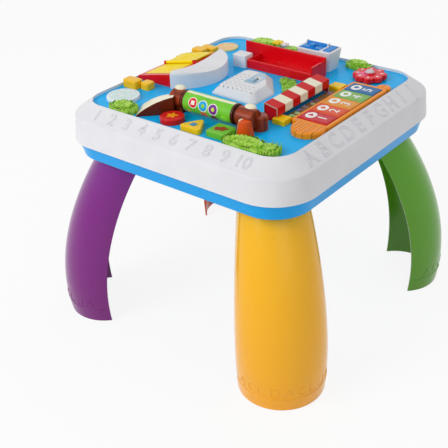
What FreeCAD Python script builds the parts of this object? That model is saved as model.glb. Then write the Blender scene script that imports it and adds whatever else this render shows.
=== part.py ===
import FreeCAD, Part
import math
import os
import re
from FreeCAD import Placement, Rotation, Vector

os.makedirs("parts", exist_ok=True)
doc = FreeCAD.newDocument("activity_table")
sheet = doc.addObject("Spreadsheet::Sheet", "Sizes")

# Named sizes in millimetres and degrees. The origin is on the floor below the middle of the table.
sizes = [
    # Table top
    ("top_half", 210.6, "half the width across the foot of the rim"),
    ("top_corner", 67, "corner radius at the foot of the rim"),
    ("deck_height", 355, "play deck above the floor"),
    ("deck_thick", 3, "play deck thickness"),
    ("deck_gap", 0.3, "deck edge to rim"),
    ("rim_rise", 4, "inner rim edge above the deck"),
    ("rim_slope", 28, "width of the sloping rim face"),
    ("rim_fall", 19.5, "drop of the sloping rim face"),
    ("rim_flare", 3.6, "skirt flare from break to foot"),
    ("rim_skirt", 36.7, "skirt depth below the break"),
    ("rim_wall", 2.6, "rim wall thickness"),
    ("rim_ledge", 4, "ledge that carries the deck"),
    ("rim_round", 4, "rounding of the rim break"),
    ("shell_wall", 2.6, "under shell wall"),
    ("shell_lap", 8, "under shell height hidden by the skirt"),
    ("shell_show", 24, "under shell height in view"),
    ("shell_taper", 6, "inward taper of the under shell"),
    ("shell_gap", 1.0, "under shell to skirt"),
    ("seat_gap", 0.3, "clearance between fixed pieces side by side"),
    ("run_gap", 0.05, "radial running clearance"),
    # Legs
    ("leg_wall", 3, "leg wall"),
    ("leg_cap", 4, "leg top plate"),
    ("foot_half", 64, "leg half width at the floor"),
    ("foot_reach", 250, "leg section centre from the middle at the floor"),
    ("shin_level", 65, "height of the widest section"),
    ("shin_half", 66, "leg half width at the widest section"),
    ("shin_reach", 251, "leg section centre at the widest section"),
    ("knee_level", 165, "height of the knee section"),
    ("knee_half", 61.5, "leg half width at the knee"),
    ("knee_reach", 233, "leg section centre at the knee"),
    ("hip_half", 47, "leg half width at the top"),
    ("hip_reach", 188, "leg section centre at the top"),
    ("hip_side", 18, "straight side of the leg section at the top"),
    ("foot_side", 3, "straight side of the leg section lower down"),
    ("tongue_reach", 214, "leg tongue from the middle"),
    ("tongue_wide", 40, "leg tongue width"),
    ("tongue_deep", 12, "leg tongue thickness"),
    ("tongue_tall", 14, "leg tongue height"),
    ("screw_reach", 188, "leg screws from the middle"),
    ("screw_spread", 28, "leg screws to each side"),
    ("screw_hole", 2, "screw shank radius"),
    ("screw_head", 4, "screw head radius"),
    ("screw_long", 14, "screw shank length"),
    ("head_tall", 2.6, "screw head height"),
    ("boss_wall", 3, "wall around a screw"),
    # Roller
    ("roller_clear", 3, "roller above the deck"),
    ("roller_line", -118, "roller axis across the deck"),
    ("roller_radius", 15, "roller radius"),
    ("roller_start", -26, "left end of the roller"),
    ("roller_long", 91, "roller length"),
    ("axle_radius", 3, "roller axle radius"),
    ("log_radius", 13.5, "end log radius"),
    ("log_left_long", 24, "left log length"),
    ("log_right_long", 30, "right log length"),
    ("end_gap", 0.5, "end clearance of a turning piece"),
    # Shape buttons
    ("button_rise", 8, "button top above the deck"),
    ("button_stroke", 3, "button travel"),
    ("button_lip", 1.6, "lip below the deck"),
    ("button_gap", 0.4, "button to deck opening"),
    ("circle_radius", 17.5, "round button"),
    ("circle_x", -24, "round button"),
    ("circle_y", -154, "round button"),
    ("triangle_side", 40, "triangle button"),
    ("triangle_x", 21, "triangle button"),
    ("triangle_y", -160, "triangle button"),
    ("square_side", 31, "square button"),
    ("square_x", 61, "square button"),
    ("square_y", -151, "square button"),
    ("button_round", 4, "plan rounding of the shaped buttons"),
    # Piano
    ("key_pitch", 30, "key spacing"),
    ("key_long", 47.5, "key length"),
    ("key_tall", 6, "key height"),
    ("key_rise", 2.5, "key underside above the deck"),
    ("key_gap", 0.6, "space between keys and around them"),
    ("key_angle", 3, "key travel in degrees"),
    ("key_x", 123.2, "inner end of the keys"),
    ("key_y", -62, "near end of the keyboard"),
    ("key_axle_radius", 1.5, "key axle"),
    ("frame_wall", 5, "piano frame side"),
    ("frame_end", 8, "piano frame end"),
    ("frame_tall", 7, "piano frame height"),
    # Stall
    ("awning_x", 79, "back of the awning"),
    ("awning_wide", 23, "awning width"),
    ("awning_near", -78, "near end of the awning"),
    ("awning_long", 131, "awning length"),
    ("awning_tall", 25, "back edge of the awning"),
    ("awning_fall", 4, "slope of the awning"),
    ("awning_flap", 12, "hanging front of the awning"),
    ("awning_wall", 2.4, "awning wall"),
    ("post_tall", 8, "stall post height"),
    # Book
    ("book_x", -176, "outer edge of the book rest"),
    ("book_deep", 70, "book rest across"),
    ("book_near", -62, "near end of the book rest"),
    ("book_long", 120, "book rest length"),
    ("book_low", 6, "outer height"),
    ("book_slope", 12, "slope in degrees"),
    ("page_long", 58, "page across the slope"),
    ("page_wide", 50, "page from the spine"),
    ("page_thick", 2, "page thickness"),
    ("page_pin_radius", 1.1, "page pin"),
    ("page_barrel", 2.3, "page barrel radius"),
    ("page_lift", 2.5, "pin above the fixed pages"),
    ("wall_tall", 27, "white wall height"),
    ("wall_bulge", 43, "white wall bulge"),
    ("wall_round", 6, "white wall rounding"),
    # Chute and box
    ("chute_x", -62, "left end of the chute"),
    ("chute_y", 69, "front of the chute"),
    ("chute_long", 124, "chute length"),
    ("chute_wide", 38, "chute width"),
    ("chute_lip", 14, "front lip height"),
    ("chute_back", 30, "back wall height"),
    ("chute_wall", 3, "chute wall"),
    ("cube_side", 25, "white block length"),
    ("cube_tall", 20, "white block height"),
    ("box_x", 30, "tower box middle"),
    ("box_y", 136, "tower box middle"),
    ("box_long", 64, "tower box length at the top"),
    ("box_wide", 38, "tower box width at the top"),
    ("box_tall", 32, "tower box height"),
    ("box_taper", 4, "taper of each side"),
    ("lid_long", 36, "lid length"),
    ("lid_wide", 26, "lid width"),
    ("lid_thick", 2.6, "lid thickness"),
    ("lid_pin", 1.3, "lid pin radius"),
    # Spinner
    ("flower_x", 124, "flower axis"),
    ("flower_y", 133, "flower axis"),
    ("flower_radius", 26, "flower reach"),
    ("flower_thick", 7, "flower thickness"),
    ("stem_radius", 4, "flower stem radius"),
    # Speaker and switch
    ("cover_tall", 13, "speaker cover height"),
    ("cover_wall", 2.6, "speaker cover wall"),
    ("cover_lean", 15, "inward lean of the cover sides"),
    ("dot_radius", 1.4, "sound hole radius"),
    ("dot_pitch", 8.5, "sound hole spacing"),
    ("cone_radius", 28, "loudspeaker radius"),
    ("switch_travel", 12, "mode switch travel"),
    ("switch_wide", 6, "mode switch stem"),
    # Power and electronics
    ("cell_radius", 7.1, "battery radius"),
    ("cell_long", 50, "battery length"),
    ("cell_pitch", 15.4, "battery spacing"),
    ("case_wall", 2, "battery case wall"),
    ("board_thick", 1.6, "board thickness"),
    ("tube_level", 44, "shell tube height above its floor"),
]
# Sizes that follow from the others
derived = [
    ("under_deck", "=deck_height - deck_thick"),
    ("corner_line", "=top_half - top_corner"),
    ("rim_top", "=deck_height + rim_rise"),
    ("rim_break", "=rim_top - rim_fall"),
    ("rim_foot", "=rim_break - rim_skirt"),
    ("inner_corner", "=top_corner - rim_flare - rim_slope"),
    ("inner_half", "=corner_line + inner_corner"),
    ("shell_floor", "=rim_foot - shell_show"),
    ("shell_inside", "=shell_floor + shell_wall"),
    ("shell_corner", "=top_corner - rim_wall - shell_gap - rim_flare * shell_lap / rim_skirt"),
    ("roller_level", "=roller_radius + roller_clear"),
    ("roller_axis", "=deck_height + roller_level"),
    ("key_level", "=deck_height + key_rise"),
    ("key_axle_x", "=key_x + key_tall / 2 + 0.4"),
    ("key_axle_z", "=key_level + key_tall / 2"),
    ("frame_x", "=key_x - key_gap - frame_wall"),
    ("frame_y", "=key_y - key_gap - frame_end"),
    ("frame_long", "=5 * key_pitch + 2 * key_gap + 2 * frame_end"),
    ("frame_wide", "=key_long + 2 * key_gap + 2 * frame_wall"),
    ("board_level", "=under_deck - button_lip - button_stroke - 6"),
    ("book_spine", "=book_near + book_long / 2"),
    ("box_top", "=deck_height + box_tall"),
    ("case_long", "=cell_long + 14"),
    ("case_wide", "=3 * cell_pitch + 2 * case_wall + 4"),
    ("case_tall", "=2 * cell_radius + 6"),
]

row = 1
for name, value, note in sizes:
    sheet.set("A%d" % row, note)
    sheet.set("B%d" % row, str(value))
    sheet.setAlias("B%d" % row, name)
    row += 1
for name, formula in derived:
    sheet.set("B%d" % row, formula)
    sheet.setAlias("B%d" % row, name)
    row += 1
doc.recompute()
known = {entry[0] for entry in sizes} | {entry[0] for entry in derived}
parts = {}


def val(name):
    """Value of one named size."""
    return float(sheet.get(name))


def link(text):
    """Point every named size in an expression at the sheet."""
    swap = lambda found: "Sizes." + found.group(0) if found.group(0) in known else found.group(0)
    return re.sub(r"[a-z_][a-z_0-9]*", swap, str(text))


def bind(item, **fields):
    for field, text in fields.items():
        item.setExpression(field, link(text))
    return item


def place(item, x, y, z):
    for axis, text in zip("xyz", (x, y, z)):
        item.setExpression("Placement.Base." + axis, link(text))
    return item


def block(x, y, z, length, width, height):
    """Box centred on x and y, standing on z."""
    item = bind(doc.addObject("Part::Box", "block"), Length=length, Width=width, Height=height)
    return place(item, "%s - (%s) / 2" % (x, length), "%s - (%s) / 2" % (y, width), z)


def post(x, y, z, radius, height):
    item = bind(doc.addObject("Part::Cylinder", "post"), Radius=radius, Height=height)
    return place(item, x, y, z)


def cone(x, y, z, low, high, height):
    item = bind(doc.addObject("Part::Cone", "cone"), Radius1=low, Radius2=high, Height=height)
    return place(item, x, y, z)


def rod(axis, x, y, z, radius, length):
    """Round bar that starts at a point and runs along +x or +y."""
    item = bind(doc.addObject("Part::Cylinder", "rod"), Radius=radius, Height=length)
    turn = Rotation(Vector(0, 1, 0), 90) if axis == "x" else Rotation(Vector(1, 0, 0), -90)
    item.Placement = Placement(Vector(), turn)
    return place(item, x, y, z)


def fuse(*items):
    item = doc.addObject("Part::MultiFuse", "fuse")
    item.Shapes = list(items)
    item.Refine = True
    return item


def cut(base, *tools):
    item = doc.addObject("Part::Cut", "cut")
    item.Base = base
    item.Tool = tools[0] if len(tools) == 1 else fuse(*tools)
    return item


def soften(base, radius, pick):
    """Round the edges that pick accepts."""
    doc.recompute()
    item = doc.addObject("Part::Fillet", "soften")
    item.Base = base
    size = val(radius) if isinstance(radius, str) else radius
    item.Edges = [(n + 1, size, size) for n, edge in enumerate(base.Shape.Edges) if pick(edge)]
    return item


def upright(edge):
    """True for a straight vertical edge."""
    first, last = edge.Vertexes[0].Point, edge.Vertexes[-1].Point
    return math.hypot(first.x - last.x, first.y - last.y) < 1e-6 and abs(first.z - last.z) > 1e-6


def level(height):
    """Picks the edges that lie at one height."""
    return lambda edge: edge.BoundBox.ZLength < 1e-5 and abs(edge.BoundBox.ZMin - height) < 1e-4


def free(shape):
    """Piece with no simple primitive or boolean form."""
    item = doc.addObject("Part::Feature", "form")
    item.Shape = shape
    item.Placement = shape.Placement
    return item


def done(label, item):
    item.Label = label
    parts[label] = item
    return item


def rounded(points, radius, z):
    """Closed outline through points with every corner rounded."""
    count = len(points)
    edges = []
    starts, ends, mids = [], [], []
    for n in range(count):
        here = Vector(points[n][0], points[n][1], z)
        back = (Vector(points[n - 1][0], points[n - 1][1], z) - here).normalize()
        ahead = (Vector(points[(n + 1) % count][0], points[(n + 1) % count][1], z) - here).normalize()
        half = back.getAngle(ahead) / 2
        reach = radius / math.tan(half)
        middle = here + (back + ahead).normalize() * (radius / math.sin(half) - radius)
        starts.append(here + back * reach)
        ends.append(here + ahead * reach)
        mids.append(middle)
    for n in range(count):
        edges.append(Part.Arc(starts[n], mids[n], ends[n]).toShape())
        edges.append(Part.makeLine(ends[n], starts[(n + 1) % count]))
    return Part.Wire(edges)


def slab(wire, height):
    return Part.Face(wire).extrude(Vector(0, 0, height))


def square_outline(half, radius, z):
    return rounded([(-half, -half), (half, -half), (half, half), (-half, half)], radius, z)


def ring(profile, straight):
    """Closed rim: one profile along four sides and round four corners."""
    face = Part.Face(Part.makePolygon([Vector(x, 0, z) for x, z in profile + profile[:1]]))
    turn = face.revolve(Vector(), Vector(0, 0, 1), 90)
    turn.translate(Vector(straight, straight, 0))
    side = face.copy()
    side.translate(Vector(straight, -straight, 0))
    side = side.extrude(Vector(0, 2 * straight, 0))
    pieces = []
    for quarter in range(4):
        for piece in (turn, side):
            copy = piece.copy()
            copy.rotate(Vector(), Vector(0, 0, 1), 90 * quarter)
            pieces.append(copy)
    return pieces[0].multiFuse(pieces[1:]).removeSplitter()


def scallop(x, y, wide, deep, pitch, bite, z):
    """Leafy outline: an oval whose edge runs in and out in even round lobes."""
    fine = 720
    angles = [2 * math.pi * n / fine for n in range(fine + 1)]
    track = [(wide * math.cos(a), deep * math.sin(a)) for a in angles]
    along = [0.0]
    for one, two in zip(track, track[1:]):
        along.append(along[-1] + math.hypot(two[0] - one[0], two[1] - one[1]))
    lobes = max(5, round(along[-1] / pitch))
    spots = []
    for step in range(2 * lobes):
        goal = along[-1] * step / (2 * lobes)
        n = next(k for k, length in enumerate(along) if length >= goal)
        normal = Vector(deep * math.cos(angles[n]), wide * math.sin(angles[n]), 0).normalize()
        back = bite if step % 2 == 0 else 0
        spots.append(Vector(x + track[n][0], y + track[n][1], z) - normal * back)
    spots.append(spots[0])
    arcs = [Part.Arc(spots[n], spots[n + 1], spots[n + 2]).toShape() for n in range(0, 2 * lobes, 2)]
    return Part.Wire(arcs)


def bush(x, y, wide, deep, height, limit):
    """Two leafy tiers, kept inside the limit."""
    ground = val("deck_height")
    low = slab(scallop(x, y, wide, deep, 9, 2.2, ground), height * 0.6)
    high = slab(scallop(x, y, wide * 0.66, deep * 0.66, 7, 1.8, ground + height * 0.5), height * 0.5)
    return low.common(limit).fuse(high.common(limit))


# Rim, play deck and under shell
R, wall = val("top_corner"), val("rim_wall")
slope, fall = val("rim_slope"), val("rim_fall")
inner, rim_top, ledge = val("inner_corner"), val("rim_top"), val("rim_ledge")
brk, foot, under = val("rim_break"), val("rim_foot"), val("under_deck")
thick = wall * math.hypot(slope, fall) / slope
lean = fall / slope
outer = R - val("rim_flare")
rim = ring([
    (R, foot), (outer, brk), (inner, rim_top), (inner, under), (inner - ledge, under),
    (inner - ledge, under - wall), (inner + wall, under - wall),
    (inner + wall, rim_top - wall * lean - thick),
    (outer - wall, rim_top - (slope - wall) * lean - thick), (R - wall, foot),
], val("corner_line"))
breaks = [e for e in rim.Edges if level(brk)(e)]
crown = [e for e in rim.Edges if level(rim_top)(e)]
rim = rim.makeFillet(val("rim_round"), breaks)
done("rim_frame", free(rim))

shell_r, sw = val("shell_corner"), val("shell_wall")
floor, inside, lap = val("shell_floor"), val("shell_inside"), val("shell_lap")
low_r = shell_r - val("shell_taper")
skirt = ring([
    (low_r, floor), (shell_r, foot), (shell_r, foot + lap), (shell_r - sw, foot + lap),
    (shell_r - sw, foot), (low_r - sw, inside), (low_r - sw - 1, inside), (low_r - sw - 1, floor),
], val("corner_line"))
base = slab(square_outline(val("corner_line") + low_r - sw, low_r - sw, floor), sw)
shell_form = free(skirt.fuse(base).removeSplitter())

leg_turns = [("leg_front_left", 225), ("leg_front_right", 315), ("leg_back_right", 45), ("leg_back_left", 135)]


def spot(reach, aside, turn):
    """Expressions for a point given along and across a corner diagonal."""
    x = "(%s) * cos(%d) - (%s) * sin(%d)" % (reach, turn, aside, turn)
    y = "(%s) * sin(%d) + (%s) * cos(%d)" % (reach, turn, aside, turn)
    return x, y


tube_spots = [(-150, -112), (-150, 112), (150, -132), (150, 132), (0, -100), (-6, 112)]
tube_out = "screw_hole + 2 * boss_wall"
adds, takes = [], []
for x, y in tube_spots:
    adds.append(post(x, y, "shell_inside", tube_out, "tube_level"))
    takes.append(post(x, y, "shell_floor - 1", "screw_head + 0.3", "tube_level - 3"))
    takes.append(post(x, y, "shell_floor - 1", "screw_hole + run_gap", "tube_level + 8"))
for label, turn in leg_turns:
    for side in (-1, 1):
        x, y = spot("screw_reach", "%d * screw_spread" % side, turn)
        adds.append(post(x, y, "shell_inside", "screw_hole + boss_wall", "screw_long"))
        takes.append(post(x, y, "shell_floor - 1", "screw_hole + run_gap", "screw_long + shell_wall"))
    x, y = spot("tongue_reach", "0", turn)
    slot = block("0", "0", "0", "tongue_deep + 2 * seat_gap", "tongue_wide + 2 * seat_gap", "shell_wall + 2")
    slot.Placement = Placement(Vector(), Rotation(Vector(0, 0, 1), turn))
    half_x, half_y = "(tongue_deep / 2 + seat_gap)", "(tongue_wide / 2 + seat_gap)"
    x, y = spot("tongue_reach - " + half_x, "0 - " + half_y, turn)
    takes.append(place(slot, x, y, "shell_floor - 1"))
case_x, case_y = "70", "-40"
takes.append(block(case_x, case_y, "shell_floor - 1", "case_long - 2 * case_wall", "case_wide - 2 * case_wall", "shell_wall + 2"))
board_x, board_y = "-45", "15"
for x in (-1, 1):
    for y in (-1, 1):
        adds.append(post("%s + %d" % (board_x, 45 * x), "%s + %d" % (board_y, 32 * y), "shell_inside", "4", "14"))
shell = fuse(shell_form, *adds)
done("lower_shell", cut(shell, *takes))

# Legs: open channels that splay to the corners
top, cap = val("shell_floor"), val("leg_cap")


def channel(level_z, centre, half, side, inset):
    """D section of a leg; inset shrinks it and pushes its open side inward."""
    reach = half - inset
    start = centre - side - (2 if inset else 0)
    corner = [Vector(start, -reach, level_z), Vector(centre, -reach, level_z)]
    far = [Vector(centre, reach, level_z), Vector(start, reach, level_z)]
    arc = Part.Arc(corner[1], Vector(centre + reach, 0, level_z), far[0]).toShape()
    return Part.Wire([
        Part.makeLine(corner[0], corner[1]), arc, Part.makeLine(far[0], far[1]), Part.makeLine(far[1], corner[0]),
    ])


def leg_stack(inset, low, high):
    hip = (top, val("hip_reach"), val("hip_half"), val("hip_side"))
    knee = (val("knee_level"), val("knee_reach"), val("knee_half"), val("foot_side") + 3)
    shin = (val("shin_level"), val("shin_reach"), val("shin_half"), val("foot_side"))
    sole = (0, val("foot_reach"), val("foot_half"), val("foot_side"))
    body = Part.makeLoft([channel(*entry, inset) for entry in (sole, shin, knee, hip)], True, False)
    keep = Part.makeBox(600, 600, high - low, Vector(-100, -300, low))
    return body.common(keep)


leg_body = leg_stack(0, 0, top).cut(leg_stack(val("leg_wall"), -1, top - cap))
for label, turn in leg_turns:
    form = leg_body.copy()
    form.rotate(Vector(), Vector(0, 0, 1), turn)
    tongue = block("0", "0", "0", "tongue_deep", "tongue_wide", "tongue_tall")
    tongue.Placement = Placement(Vector(), Rotation(Vector(0, 0, 1), turn))
    x, y = spot("tongue_reach - tongue_deep / 2", "0 - tongue_wide / 2", turn)
    place(tongue, x, y, "shell_floor")
    holes = []
    for side in (-1, 1):
        x, y = spot("screw_reach", "%d * screw_spread" % side, turn)
        holes.append(post(x, y, "shell_floor - leg_cap - 1", "screw_hole + run_gap", "leg_cap + 2"))
    done(label, cut(fuse(free(form), tongue), *holes))

screws = []
for label, turn in leg_turns:
    for side in (-1, 1):
        x, y = spot("screw_reach", "%d * screw_spread" % side, turn)
        screws.append(post(x, y, "shell_floor - leg_cap", "screw_hole", "screw_long"))
        screws.append(post(x, y, "shell_floor - leg_cap - head_tall", "screw_head", "head_tall"))
done("leg_screws", fuse(*screws))

screws = []
seat = "shell_floor + tube_level - 4"
for x, y in tube_spots:
    screws.append(post(x, y, seat, "screw_hole", "screw_long + 4"))
    screws.append(post(x, y, seat + " - head_tall", "screw_head", "head_tall"))
done("shell_screws", fuse(*screws))

# Button outlines, shared by the caps and the deck openings
def triangle(grow, z):
    side = val("triangle_side") + grow * 2 * math.sqrt(3)
    reach = side / math.sqrt(3)
    turns = [90, 210, 330]
    x, y = val("triangle_x"), val("triangle_y")
    points = [(x + reach * math.cos(math.radians(a)), y + reach * math.sin(math.radians(a))) for a in turns]
    return rounded(points, max(1.0, val("button_round") + grow), z)


def square(grow, z):
    half = val("square_side") / 2 + grow
    x, y = val("square_x"), val("square_y")
    points = [(x - half, y - half), (x + half, y - half), (x + half, y + half), (x - half, y + half)]
    return rounded(points, max(1.0, val("button_round") + grow), z)


def circle(grow, z):
    return Part.Wire([Part.makeCircle(val("circle_radius") + grow, Vector(val("circle_x"), val("circle_y"), z))])


outlines = [("button_circle", circle), ("button_triangle", triangle), ("button_square", square)]
deck, lip = val("deck_height"), val("button_lip")
plate = slab(square_outline(val("inner_half") - val("deck_gap"), inner - val("deck_gap"), under), val("deck_thick"))
for label, outline in outlines:
    plate = plate.cut(slab(outline(val("button_gap"), under - 1), val("deck_thick") + 2))
key_mid = "key_y + 2.5 * key_pitch"
deck_tools = [
    block("key_x + key_long / 2", key_mid, "under_deck - 1", "key_long - 4", "5 * key_pitch - 4", "deck_thick + 2"),
    post("-8", "-8", "under_deck - 1", "cone_radius - 4", "deck_thick + 2"),
]
bosses = []
for x, y in tube_spots:
    bosses.append(post(x, y, "shell_inside + tube_level", "screw_hole + boss_wall", "under_deck - shell_inside - tube_level"))
    deck_tools.append(post(x, y, "shell_inside + tube_level - 1", "screw_hole + run_gap", "screw_long"))
done("deck_panel", cut(fuse(free(plate), *bosses), *deck_tools))

# Sprung shape buttons
for label, outline in outlines:
    cap_top = deck + val("button_rise")
    body = slab(outline(0, under - 1), cap_top - under + 1)
    body = body.makeFillet(1.4, [e for e in body.Edges if level(cap_top)(e)])
    body = body.fuse(slab(outline(1.8, under - lip - 1), lip + 0.6))
    done(label, free(body))
pad_level = "board_level + board_thick"
pads = [block("22", "-150", "board_level", "140", "44", "board_thick")]
for x, y in (("circle_x", "circle_y"), ("triangle_x", "triangle_y"), ("square_x", "square_y")):
    pads.append(cone(x, y, pad_level, "7", "5", "3"))
for x in (-44, 88):
    for y in (-169, -132):
        pads.append(post(x, y, pad_level, "3", "under_deck - board_level - board_thick"))
done("button_pads", fuse(*pads))

# Roller between two logs
tube = rod("x", "roller_start", "roller_line", "roller_axis", "roller_radius", "roller_long")
bore = rod("x", "roller_start - 1", "roller_line", "roller_axis", "axle_radius + run_gap", "roller_long + 2")
done("roller_sleeve", soften(cut(tube, bore), 1.2, lambda e: abs(e.BoundBox.YLength - 2 * val("roller_radius")) < 0.01))
left_end, right_end = "roller_start - end_gap", "roller_start + roller_long + end_gap"
done("roller_axle", rod("x", left_end + " - 12", "roller_line", "roller_axis", "axle_radius", "roller_long + 2 * end_gap + 24"))
socket = [
    rod("x", left_end + " - 12.5", "roller_line", "roller_axis", "axle_radius + run_gap", "14"),
    rod("x", right_end + " - 1", "roller_line", "roller_axis", "axle_radius + run_gap", "13.5"),
]
left_log = soften(rod("x", left_end + " - log_left_long", "roller_line", "roller_axis", "log_radius", "log_left_long"), 2.5, lambda e: e.BoundBox.XLength < 0.01)
left_foot = block(left_end + " - log_left_long / 2", "roller_line", "deck_height", "log_left_long - 6", "18", "roller_level")
done("log_left", cut(fuse(left_log, left_foot), socket[0]))
right_log = soften(rod("x", right_end, "roller_line", "roller_axis", "log_radius", "log_right_long"), 2.5, lambda e: e.BoundBox.XLength < 0.01)
right_foot = block(right_end + " + log_right_long / 2", "roller_line", "deck_height", "log_right_long - 6", "18", "roller_level")
knee = post(right_end + " + log_right_long - 1", "roller_line + 10", "deck_height", "11", "21.4")
knee = soften(knee, 3.7, level(val("deck_height") + 21.4))
done("log_right", cut(fuse(right_log, right_foot, knee), socket[1]))

caps = []
for x in (left_end + " - 15", right_end + " + 18"):
    cap_form = bind(doc.addObject("Part::Ellipsoid", "cap"), Radius1="5", Radius2="9", Radius3="6.5")
    place(cap_form, x, "roller_line + 4", "roller_axis + log_radius - 0.5")
    caps.append(cap_form)
trim = rod("x", left_end + " - log_left_long", "roller_line", "roller_axis", "log_radius + run_gap", "roller_long + 90")
done("oval_caps", cut(fuse(*caps), trim))

leg_form = cone(right_end + " + 24", "roller_line - 17", "deck_height", "12.5", "8.5", "21")
trim_log = rod("x", right_end + " - 1", "roller_line", "roller_axis", "log_radius + seat_gap", "log_right_long + 20")
trim_foot = block(right_end + " + log_right_long / 2", "roller_line", "deck_height - 1", "log_right_long", "18 + 2 * seat_gap", "roller_level")
done("log_paw", cut(leg_form, trim_log, trim_foot))


def ramp_form():
    """Solid ramp with an arched top, from the deck up to the left log."""
    low, high = Vector(-86, -156, 0), Vector(-40, -130, 0)
    run = (high - low).Length
    top_arc = Part.Arc(Vector(0, 0, 2), Vector(run * 0.5, 0, 18), Vector(run, 0, 26)).toShape()
    wire = Part.Wire([
        Part.makeLine(Vector(), Vector(0, 0, 2)), top_arc,
        Part.makeLine(Vector(run, 0, 26), Vector(run, 0, 0)), Part.makeLine(Vector(run, 0, 0), Vector()),
    ])
    blade = Part.Face(wire).extrude(Vector(0, 50, 0))
    blade.translate(Vector(0, -25, 0))
    plan = Part.makePolygon([Vector(0, -20, -1), Vector(run, -7, -1), Vector(run, 7, -1), Vector(0, 20, -1), Vector(0, -20, -1)])
    blade = blade.common(slab(Part.Wire(plan), 40))
    blade.rotate(Vector(), Vector(0, 0, 1), math.degrees(math.atan2(high.y - low.y, high.x - low.x)))
    blade.translate(low + Vector(0, 0, val("deck_height")))
    return blade


ramp_stops = [
    rod("x", left_end + " - log_left_long - seat_gap", "roller_line", "roller_axis", "log_radius + seat_gap", "log_left_long + 2"),
    block(left_end + " - log_left_long / 2", "roller_line", "deck_height - 1", "log_left_long - 6 + 2 * seat_gap", "18 + 2 * seat_gap", "roller_level"),
]
done("ramp", cut(free(ramp_form()), *ramp_stops))

# Grass at the near edge, bushes at the far edge, leaf patch by the speaker
inside_rim = slab(square_outline(val("inner_half") - 1, inner - 1, deck - 1), 60)
done("grass_left", free(bush(-107, -166, 23, 16, 11, inside_rim)))
grass = bush(116, -166, 38, 17, 12, inside_rim).fuse(bush(146, -160, 17, 15, 9, inside_rim))
done("grass_front", free(grass.removeSplitter()))
leaves = [(-92, 160, 30, 17, 14), (-40, 163, 17, 13, 10), (86, 164, 23, 13, 11)]
done("far_bushes", free(Part.makeCompound([bush(*entry, inside_rim) for entry in leaves])))
done("leaf_patch", free(slab(rounded([(46, 14), (62, 32), (36, 62), (8, 60)], 4, deck), 2.5)))

# Print discs in two corners
disc = post("-140", "-133", "deck_height", "25", "6")
done("disc_left", soften(disc, 2, level(deck + 6)))
disc = post("-148", "126", "deck_height", "19", "3")
done("disc_back", soften(disc, 1.2, level(deck + 3)))

# Piano: frame, five keys on one axle, contact board
frame = block("frame_x + frame_wide / 2", key_mid, "deck_height", "frame_wide", "frame_long", "frame_tall")
frame = soften(frame, 6, upright)
frame = soften(frame, 1.6, level(deck + val("frame_tall")))
well = block("key_x + key_long / 2", key_mid, "deck_height - 1", "key_long + 2 * key_gap", "5 * key_pitch + 2 * key_gap", "frame_tall + 2")
axle_way = rod("y", "key_axle_x", "frame_y + 1", "key_axle_z", "key_axle_radius + run_gap", "frame_long - 2")
done("piano_frame", cut(frame, well, axle_way))
done("key_axle", rod("y", "key_axle_x", "frame_y + 2", "key_axle_z", "key_axle_radius", "frame_long - 4"))
for n in range(5):
    near = "(key_y + %d * key_pitch)" % n
    key = block("key_x + key_long / 2", near + " + key_pitch / 2", "key_level", "key_long", "key_pitch - key_gap", "key_tall")
    key = soften(key, 1.2, level(val("key_level") + val("key_tall")))
    way = rod("y", "key_axle_x", near + " - 1", "key_axle_z", "key_axle_radius + run_gap", "key_pitch + 2")
    done("key_%d" % (n + 1), cut(key, way))
domes = [block("key_x + key_long / 2", key_mid, "under_deck - board_thick", "key_long + 6", "5 * key_pitch + 6", "board_thick")]
for n in range(5):
    domes.append(cone("key_x + key_long * 0.55", "key_y + %.1f * key_pitch" % (n + 0.5), "under_deck", "6", "4.5", "2.5"))
done("key_board", fuse(*domes))

# Market stall: striped awning, posts and a picture strip
a_x, a_w, a_t = val("awning_x"), val("awning_wide"), val("awning_wall")
high = deck + val("awning_tall")
low = high - val("awning_fall")
flap = low - val("awning_flap")
profile = [
    (a_x, deck), (a_x, high), (a_x + a_w, low), (a_x + a_w, flap), (a_x + a_w - a_t, flap),
    (a_x + a_w - a_t, low - a_t), (a_x + a_t, high - a_t - 0.4), (a_x + a_t, deck),
]
points = [Vector(x, val("awning_near"), z) for x, z in profile + profile[:1]]
awning = Part.Face(Part.makePolygon(points)).extrude(Vector(0, val("awning_long"), 0))
long_edges = [e for e in awning.Edges if e.BoundBox.YLength > 50 and e.BoundBox.ZMin > low - 0.1]
long_edges = [e for e in long_edges if abs(e.BoundBox.XMin - a_x) < 0.01 or abs(e.BoundBox.XMin - a_x - a_w) < 0.01]
done("awning", free(awning.makeFillet(1.5, long_edges)))
post_x = "frame_x - seat_gap - 10"
posts = []
for y in ("awning_near + 4", "awning_near + awning_long + 16"):
    beam = block(post_x, y, "deck_height", "20", "20", "post_tall")
    posts.append(soften(beam, 2.5, lambda e: level(deck + val("post_tall"))(e) and e.BoundBox.XLength > 5))
done("stall_posts", fuse(*posts))
strip_long = "awning_long - 16"
done("picture_strip", block("(awning_x + awning_wide + frame_x) / 2 + 0.5", "awning_near + awning_long / 2 + 6.5", "deck_height", "frame_x - awning_x - awning_wide - 2", strip_long, "4"))

near_end, far_end = val("frame_y") - val("seat_gap"), val("frame_y") + val("frame_long") + val("seat_gap")


def fan(x, y, half, reach, height, grooves):
    """Half oval with grooves; a negative reach faces the near side."""
    sign = 1 if reach > 0 else -1
    arc = Part.Arc(Vector(x - half, y, deck), Vector(x, y + reach, deck), Vector(x + half, y, deck)).toShape()
    body = slab(Part.Wire([arc, Part.makeLine(Vector(x + half, y, deck), Vector(x - half, y, deck))]), height)
    rim_edge = [e for e in body.Edges if level(deck + height)(e) and e.BoundBox.YLength > 1]
    body = body.makeFillet(3, rim_edge)
    for shift in grooves:
        tool = Part.makeCylinder(1.1, 80, Vector(x + shift, y - 40, deck + height + 0.2), Vector(0, 1, 0))
        body = body.cut(tool)
    return body


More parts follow.
